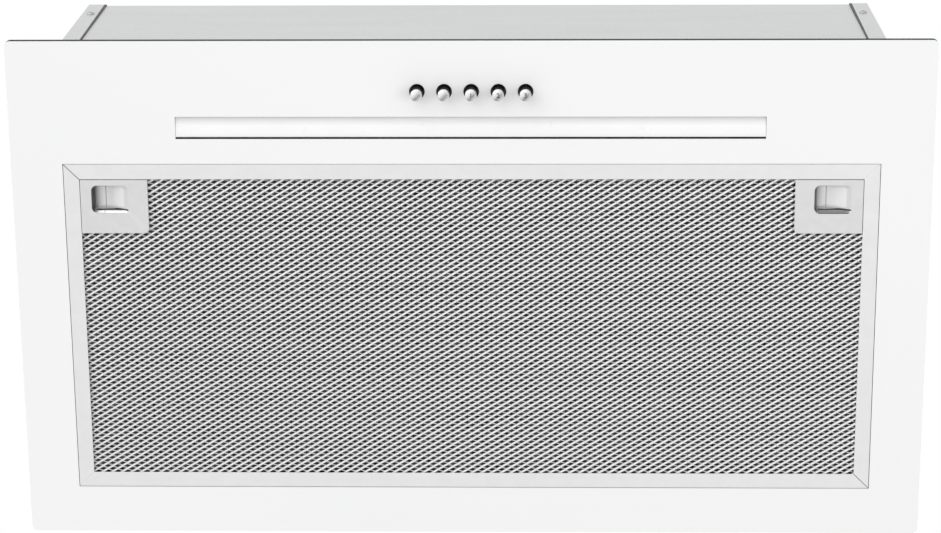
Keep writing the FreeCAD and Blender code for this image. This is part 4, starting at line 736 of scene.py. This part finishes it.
SPRING_LOW, SPRING_HIGH = 2.7, 8.9
SPRING_WIRE, SPRING_RADIUS, SPRING_TURNS, STEPS_A_TURN = 0.28, 2.8, 6.5, 24
for number, x in enumerate(BUTTON_X, 1):
    bm = bmesh.new()
    wire = bmesh.ops.create_circle(bm, cap_ends=True, segments=8, radius=SPRING_WIRE * MM,
                                   matrix=Matrix.Rotation(math.pi / 2, 4, "X"))
    move_by(bm, wire["verts"], SPRING_RADIUS)
    rise = SPRING_HIGH - SPRING_LOW - 2 * SPRING_WIRE
    steps = int(SPRING_TURNS * STEPS_A_TURN)
    bmesh.ops.spin(bm, geom=bm.faces[:], cent=(0, 0, 0), axis=(0, 0, 1),
                   dvec=(0, 0, rise / steps * MM), angle=SPRING_TURNS * math.tau, steps=steps,
                   use_merge=False, use_duplicate=False)
    move_by(bm, bm.verts, x, BUTTON_Y, SPRING_LOW + SPRING_WIRE)
    bmesh.ops.recalc_face_normals(bm, faces=bm.faces)
    spring = as_piece(bm, f"coil_spring_{number}", (shaft_steel,), "hood",
                      f"button_spring_{number}")
    x * MM
    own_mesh(spring)


# ------------------------------------------------------------------ grease filter
# Mitred aluminium channel bars hold an expanded metal net, a pad of crinkled
# foil and a coarser net behind it. Two hooks at the rear carry it.

dress(anodised, "filter_frame_front", "filter_frame_rear", "filter_frame_left",
      "filter_frame_right", "filter_rear_hooks", edge=0.3)

# Lit and shaded copies of the net's aluminium: painted light on one strand direction, painted shade
# on the other.
lit_strand = Finish("net_aluminium", Metallic=0.25)
lit_strand.set("Base Color", lit_strand.mixed(lit_strand.cloudy(300), (0.80, 0.80, 0.80), (0.89, 0.89, 0.89)))
lit_strand.set("Roughness", lit_strand.cloudy(1200, 0.28, 0.4))
shaded_strand = Finish("net_aluminium", Metallic=0.4)
shaded_strand.set("Base Color", shaded_strand.mixed(
    shaded_strand.cloudy(300), (0.54, 0.54, 0.54), (0.68, 0.68, 0.68)))
shaded_strand.set("Roughness", shaded_strand.cloudy(1200, 0.4, 0.55))


def clear_latch_corners(bm):
    """Cut the two corners that the latches fill out of a net or a leaf."""
    inside_x, inside_y = NET_CORNER
    cut_off = [face for face in bm.faces
               if abs(face.calc_center_median().x) > inside_x * MM
               and face.calc_center_median().y < inside_y * MM]
    bmesh.ops.delete(bm, geom=cut_off, context="FACES")


def expanded_net(area_low, area_high, pitch, hole, lean, heights, thickness):
    """Expanded metal from one cut sheet: a cell of strands, doubled until it fills the
    area, trimmed to it, less two corners, and given its thickness. One way's strands get
    a bright finish and the other way's a darker one, as painted light and shade."""
    bm = bmesh.new()
    half_x, half_y = pitch[0] / 2, pitch[1] / 2
    far, middle, near = heights
    joint_x, joint_y = half_x - hole[0], half_y - hole[1]
    joint = {"left": (-joint_x, -lean, middle), "right": (joint_x, lean, middle),
             "far": (0, joint_y, far), "near": (0, -joint_y, near)}
    outlines = [[joint[name] for name in ("left", "near", "right", "far")]]
    for side, start, finish in ((1, "right", "left"), (-1, "left", "right")):
        following = {name: (x + side * half_x, y + half_y, z) for name, (x, y, z) in joint.items()}
        outlines.append([joint["far"], joint[start], following["near"], following[finish]])
    for outline in outlines:
        face = bm.faces.new([bm.verts.new(Vector(corner) * MM) for corner in outline])
        # The second outline's strands take the darker finish, as painted shade.
        face.material_index = 1 if outline is outlines[1] else 0

    def repeated(x, y):
        again = bmesh.ops.duplicate(bm, geom=bm.faces[:])["geom"]
        move_by(bm, [one for one in again if isinstance(one, bmesh.types.BMVert)], x, y)
        bmesh.ops.remove_doubles(bm, verts=bm.verts, dist=0.01 * MM)

    repeated(half_x, half_y)
    for axis in (0, 1):
        cells = 1
        while cells * pitch[axis] < area_high[axis] - area_low[axis] + 2 * pitch[axis]:
            step = [0, 0]
            step[axis] = pitch[axis] * cells
            repeated(*step)
            cells *= 2
    move_by(bm, bm.verts, area_low[0] - half_x, area_low[1] - half_y)
    for axis in (0, 1):
        for limit, way in ((area_low[axis], -1), (area_high[axis], 1)):
            plane, normal = Vector((0, 0, 0)), Vector((0, 0, 0))
            plane[axis], normal[axis] = limit * MM, way
            bmesh.ops.bisect_plane(bm, geom=bm.verts[:] + bm.edges[:] + bm.faces[:],
                                   dist=0.001 * MM, plane_co=plane, plane_no=normal,
                                   clear_outer=True)
    clear_latch_corners(bm)
    draw_out(bm, z=thickness)
    return bm


NET_INSET = 5.5
NET_PITCH = (5.7, 3.45)
NET_HOLE = (2.25, 1.2)
NET_LEAN = 0.25
NET_HEIGHTS, NET_THICKNESS = (-3.0, -2.5, -2.0), 0.2
NET_CORNER = (184.0, -36.5)
net_low = filter_low + Vector((NET_INSET, NET_INSET, 0))
net_high = filter_high - Vector((NET_INSET, NET_INSET, 0))
bm = expanded_net(net_low, net_high, NET_PITCH, NET_HOLE, NET_LEAN, NET_HEIGHTS, NET_THICKNESS)
as_piece(bm, "front_expanded_net", (lit_strand, shaded_strand), "filter", "filter_front_net",
         smooth=20)
BACK_PITCH = (12.0, 7.0)
BACK_HOLE = (5.2, 2.8)
BACK_LEAN = 0.3
BACK_HEIGHTS, BACK_THICKNESS = (4.2, 4.45, 4.7), 0.5
bm = expanded_net(net_low, net_high, BACK_PITCH, BACK_HOLE, BACK_LEAN, BACK_HEIGHTS,
                  BACK_THICKNESS)
as_piece(bm, "back_expanded_net", (lit_strand, shaded_strand), "filter", "filter_back_net",
         smooth=20)

# The foil is given a near black colour as painted shade, so that the net's holes read dark.
foil_in_painted_shade = Finish("net_aluminium", Metallic=0.6)
foil_in_painted_shade.set("Base Color", foil_in_painted_shade.mixed(foil_in_painted_shade.cloudy(400), (0.01, 0.01, 0.01), (0.12, 0.12, 0.12)))
foil_in_painted_shade.set("Roughness", foil_in_painted_shade.cloudy(900, 0.3, 0.5))
foil_in_painted_shade.bump(foil_in_painted_shade.cloudy(700, detail=4), 0.0002, 0.5)

FOIL_LEAVES_Z = (-0.5, 1.2, 2.9)
FOIL_CELLS = (110, 46)
FOIL_CRUMPLE, FOIL_THICKNESS = 1.15, 0.12
CREASE_SCALE, CREASE_SHARE = 130, 1.4
FOLD_SCALE, FOLD_SHARE, FOLD_MIDDLE = 60, 1.6, 0.5
bm = bmesh.new()
middle, half = (net_low + net_high) / 2, (net_high - net_low) / 2
for leaf, leaf_z in enumerate(FOIL_LEAVES_Z):
    made = bmesh.ops.create_grid(bm, x_segments=FOIL_CELLS[0], y_segments=FOIL_CELLS[1], size=1)
    bmesh.ops.scale(bm, verts=made["verts"], vec=(half.x * MM, half.y * MM, 1))
    move_by(bm, made["verts"], middle.x, middle.y, leaf_z)
    for vert in made["verts"]:
        creases = noise.noise(vert.co * CREASE_SCALE + Vector((0, 0, 7 * leaf)))
        folds = abs(noise.noise(vert.co * FOLD_SCALE + Vector((0, 0, 3 * leaf))))
        crumple = creases * CREASE_SHARE + folds * FOLD_SHARE - FOLD_MIDDLE
        vert.co.z += max(-1.0, min(1.0, crumple)) * FOIL_CRUMPLE * MM
clear_latch_corners(bm)
draw_out(bm, z=FOIL_THICKNESS)
as_piece(bm, "crumpled_foil", (foil_in_painted_shade,), "filter", "filter_pad", smooth=60)


# --------------------------------------------------------------- filter latches
# Two pressed aluminium plates with a finger cup each. Painted shade darkens each cup's
# deep wall, the floor by its slit, its crease and its rim fold, and the right cup's rear
# strip; painted light brightens the cup floors and the left cup's rear strip. They slide
# rearward under zinc coated guides, which draws their tongues back from the slots in the
# seat's front strip.

LATCH_SKIN = 0.7
PLATE_FRONT_Y = -67.1
PLATE_CORNER = 2.5
CUP_Y = (-63.9, -47.3)
CUP_DEPTH, CUP_FLAT, CUP_CORNER = 7.4, 7.4, 3.3
CUP_LEFT_X = {"left": -215.5, "right": 193.9}
CUP_WIDTH = 21.6
CUP_WALL = ((0.2, 0.03), (0.5, 0.16), (0.9, 0.48), (1.5, 0.84), (2.4, 0.97), (CUP_CORNER, 1.0))
CUP_CUTS = (CUP_FLAT, CUP_FLAT + 4, CUP_WIDTH - 5)
RIM_SLOPE, RIM_WIDTH = 0.9, 1.5
FINGER_SLIT_X, FINGER_SLIT_Y, FINGER_SLIT_Z = (2.6, CUP_WIDTH - 0.6), (-49.7, -48.8), 0.0
TONGUE_X, TONGUE_Y, TONGUE_Z = (199.6, 213.6), (-76.4, -62.8), (2.0, 3.2)

WALL_SHADE, WALL_SHADE_MOST = 1.4, 0.98
MOUTH_Z, RIM_Z, DEPTH_SHARPNESS = -3.95, -2.6, 2
SLIT_SHADE_Y, SLIT_SHADE_SLOPE, SLIT_SHADE_MOST = -51.2, 0.25, 0.4
CREASE_HALF_WIDTH, CREASE_SHADE = 0.22, 0.6
FOLD_X, FOLD_Y, FOLD_HALF_WIDTH = (2.5, CUP_WIDTH - 2), -47.45, 0.2
FOLD_SHADE_LEFT, FOLD_SHADE_MORE_RIGHT = 0.3, 0.6
STRIP_X, STRIP_Y, STRIP_SHADE = (1.5, CUP_WIDTH - 1.5), (FINGER_SLIT_Y[1], -47.6), 0.68

latch_aluminium = Finish("latch_metal", Metallic=0.4)
across, rearward, inward = (latch_aluminium.along(axis) for axis in "XYZ")
on_right = across > 0
from_left_wall = (across - CUP_LEFT_X["left"]
                  - on_right * (CUP_LEFT_X["right"] - CUP_LEFT_X["left"]))
nearness = (1 - from_left_wall * (1 / CUP_FLAT)).at_least(0)
past_mouth = ((inward - MOUTH_Z) * DEPTH_SHARPNESS).at_least(0).at_most(1)
past_rim = ((inward - RIM_Z) * DEPTH_SHARPNESS).at_least(0).at_most(1)
# Painted shade: the cup's deep left wall, the floor near the slit, a line along the crease, a line
# along the rim fold and the right cup's rear strip.
deep_wall_shade = (nearness * nearness * WALL_SHADE).at_most(WALL_SHADE_MOST) * past_mouth
slit_shade = ((rearward - SLIT_SHADE_Y) * SLIT_SHADE_SLOPE).at_least(0).at_most(SLIT_SHADE_MOST)
crease_shade_line = (abs(from_left_wall - CUP_FLAT) < CREASE_HALF_WIDTH) * CREASE_SHADE
fold_shade_line = abs(rearward - FOLD_Y) < FOLD_HALF_WIDTH
fold_shade_line = fold_shade_line * (from_left_wall > FOLD_X[0]) * (from_left_wall < FOLD_X[1])
fold_shade_line = fold_shade_line * (on_right * FOLD_SHADE_MORE_RIGHT + FOLD_SHADE_LEFT)
rim_strip_light_and_shade = (rearward > STRIP_Y[0]) * (rearward < STRIP_Y[1])
rim_strip_light_and_shade = rim_strip_light_and_shade * (from_left_wall > STRIP_X[0]) * (from_left_wall < STRIP_X[1])
brushed_and_painted_light = latch_aluminium.mixed(latch_aluminium.cloudy(200), (0.76, 0.763, 0.766),
                                (0.80, 0.80, 0.80))
# Painted light: the cup floor past the rim and the left cup's rear strip are made lighter.
brushed_and_painted_light = latch_aluminium.mixed((rim_strip_light_and_shade * (1 - on_right)).at_least(past_rim), brushed_and_painted_light,
                                (0.96, 0.96, 0.96))
shaded = deep_wall_shade.at_least(slit_shade * past_rim).at_least(crease_shade_line * past_mouth)
shaded = shaded.at_least(fold_shade_line).at_least(rim_strip_light_and_shade * on_right * STRIP_SHADE)
latch_aluminium.set("Base Color", latch_aluminium.mixed(shaded, brushed_and_painted_light, (0.008, 0.008, 0.008)))
latch_aluminium.set("Roughness", latch_aluminium.cloudy(900, 0.34, 0.44))
latch_aluminium.bump(latch_aluminium.cloudy(1500), 0.00001, 0.4)


def cup_depth_at(x, left):
    """The cup is deep at its left end, and its floor ramps up to the plate at its right."""
    return CUP_DEPTH * max(0.0, min(1.0, (left + CUP_WIDTH - x) / (CUP_WIDTH - CUP_FLAT)))


def edges_in_cup(bm, left):
    """The edges within the mouth of the cup that starts at a place."""
    return [edge for edge in bm.edges
            if all(left - NEAR < vert.co.x / MM < left + CUP_WIDTH + NEAR
                   and CUP_Y[0] - NEAR < vert.co.y / MM < CUP_Y[1] + NEAR for vert in edge.verts)]


def pressed_latch(side, hand):
    """One latch: a plate with its finger cup drawn into it, its slit and its tongue."""
    low, high = millimetre_box(f"latch_{side}")
    face_z, left = low.z, CUP_LEFT_X[side]
    bm = bmesh.new()
    rectangle_edges(bm, (low.x, PLATE_FRONT_Y), (high.x, high.y), face_z, PLATE_CORNER, 5,
                    lambda place: place.y > PLATE_FRONT_Y * MM + MM
                    and abs(place.x) < (abs(low.x + high.x) / 2) * MM)
    cup_low, cup_high = (left, CUP_Y[0]), (left + CUP_WIDTH, CUP_Y[1])
    ring = rectangle_edges(bm, cup_low, cup_high, face_z, CUP_CORNER, 6)
    for x in CUP_CUTS:
        ring_verts = list(dict.fromkeys(vert for edge in ring for vert in edge.verts))
        bmesh.ops.bisect_plane(bm, geom=ring + ring_verts, dist=0.001 * MM,
                               plane_co=((left + x) * MM, 0, 0), plane_no=(1, 0, 0))
        ring = edges_in_cup(bm, left)
    bmesh.ops.triangle_fill(bm, use_beauty=True, edges=bm.edges[:], normal=(0, 0, -1))
    for inset, share in CUP_WALL:
        made = bmesh.ops.extrude_edge_only(bm, edges=ring)["geom"]
        ring = [one for one in made if isinstance(one, bmesh.types.BMEdge)]
        for vert in (one for one in made if isinstance(one, bmesh.types.BMVert)):
            x, y = vert.co.x / MM, vert.co.y / MM
            middle = Vector((min(max(x, cup_low[0] + CUP_CORNER), cup_high[0] - CUP_CORNER),
                             min(max(y, cup_low[1] + CUP_CORNER), cup_high[1] - CUP_CORNER)))
            outward = (Vector((x, y)) - middle).normalized()
            x, y = middle + outward * (CUP_CORNER - inset)
            depth = cup_depth_at(x, left) * share
            if inset <= RIM_WIDTH:
                rim = max(0.0, outward.y) ** 2
                depth += rim * (inset * RIM_SLOPE - depth)
            vert.co = (x * MM, y * MM, (face_z + depth) * MM)
    ring_verts = list(dict.fromkeys(vert for edge in ring for vert in edge.verts))
    bmesh.ops.remove_doubles(bm, verts=ring_verts, dist=NEAR * MM)
    long_sides = [edge for edge in edges_in_cup(bm, left) if edge.is_boundary
                  and abs(edge.verts[0].co.y - edge.verts[1].co.y) < NEAR * MM]
    bmesh.ops.bridge_loops(bm, edges=long_sides)
    draw_out(bm, z=LATCH_SKIN)
    slit = bmesh.new()
    block(slit, (left + FINGER_SLIT_X[0], FINGER_SLIT_Y[0], face_z - 1),
          (left + FINGER_SLIT_X[1], FINGER_SLIT_Y[1], FINGER_SLIT_Z))
    bm = cut_away(bm, slit)
    tongue_x = sorted(hand * x for x in TONGUE_X)
    block(bm, (tongue_x[0], TONGUE_Y[0], TONGUE_Z[0]), (tongue_x[1], TONGUE_Y[1], TONGUE_Z[1]))
    as_piece(bm, f"pressed_latch_{side}", (latch_aluminium,), f"latch_{side}", f"latch_{side}")


pressed_latch("left", -1)
pressed_latch("right", 1)
dress(zinc, "latch_guide_left", "latch_guide_right", edge=0.2)
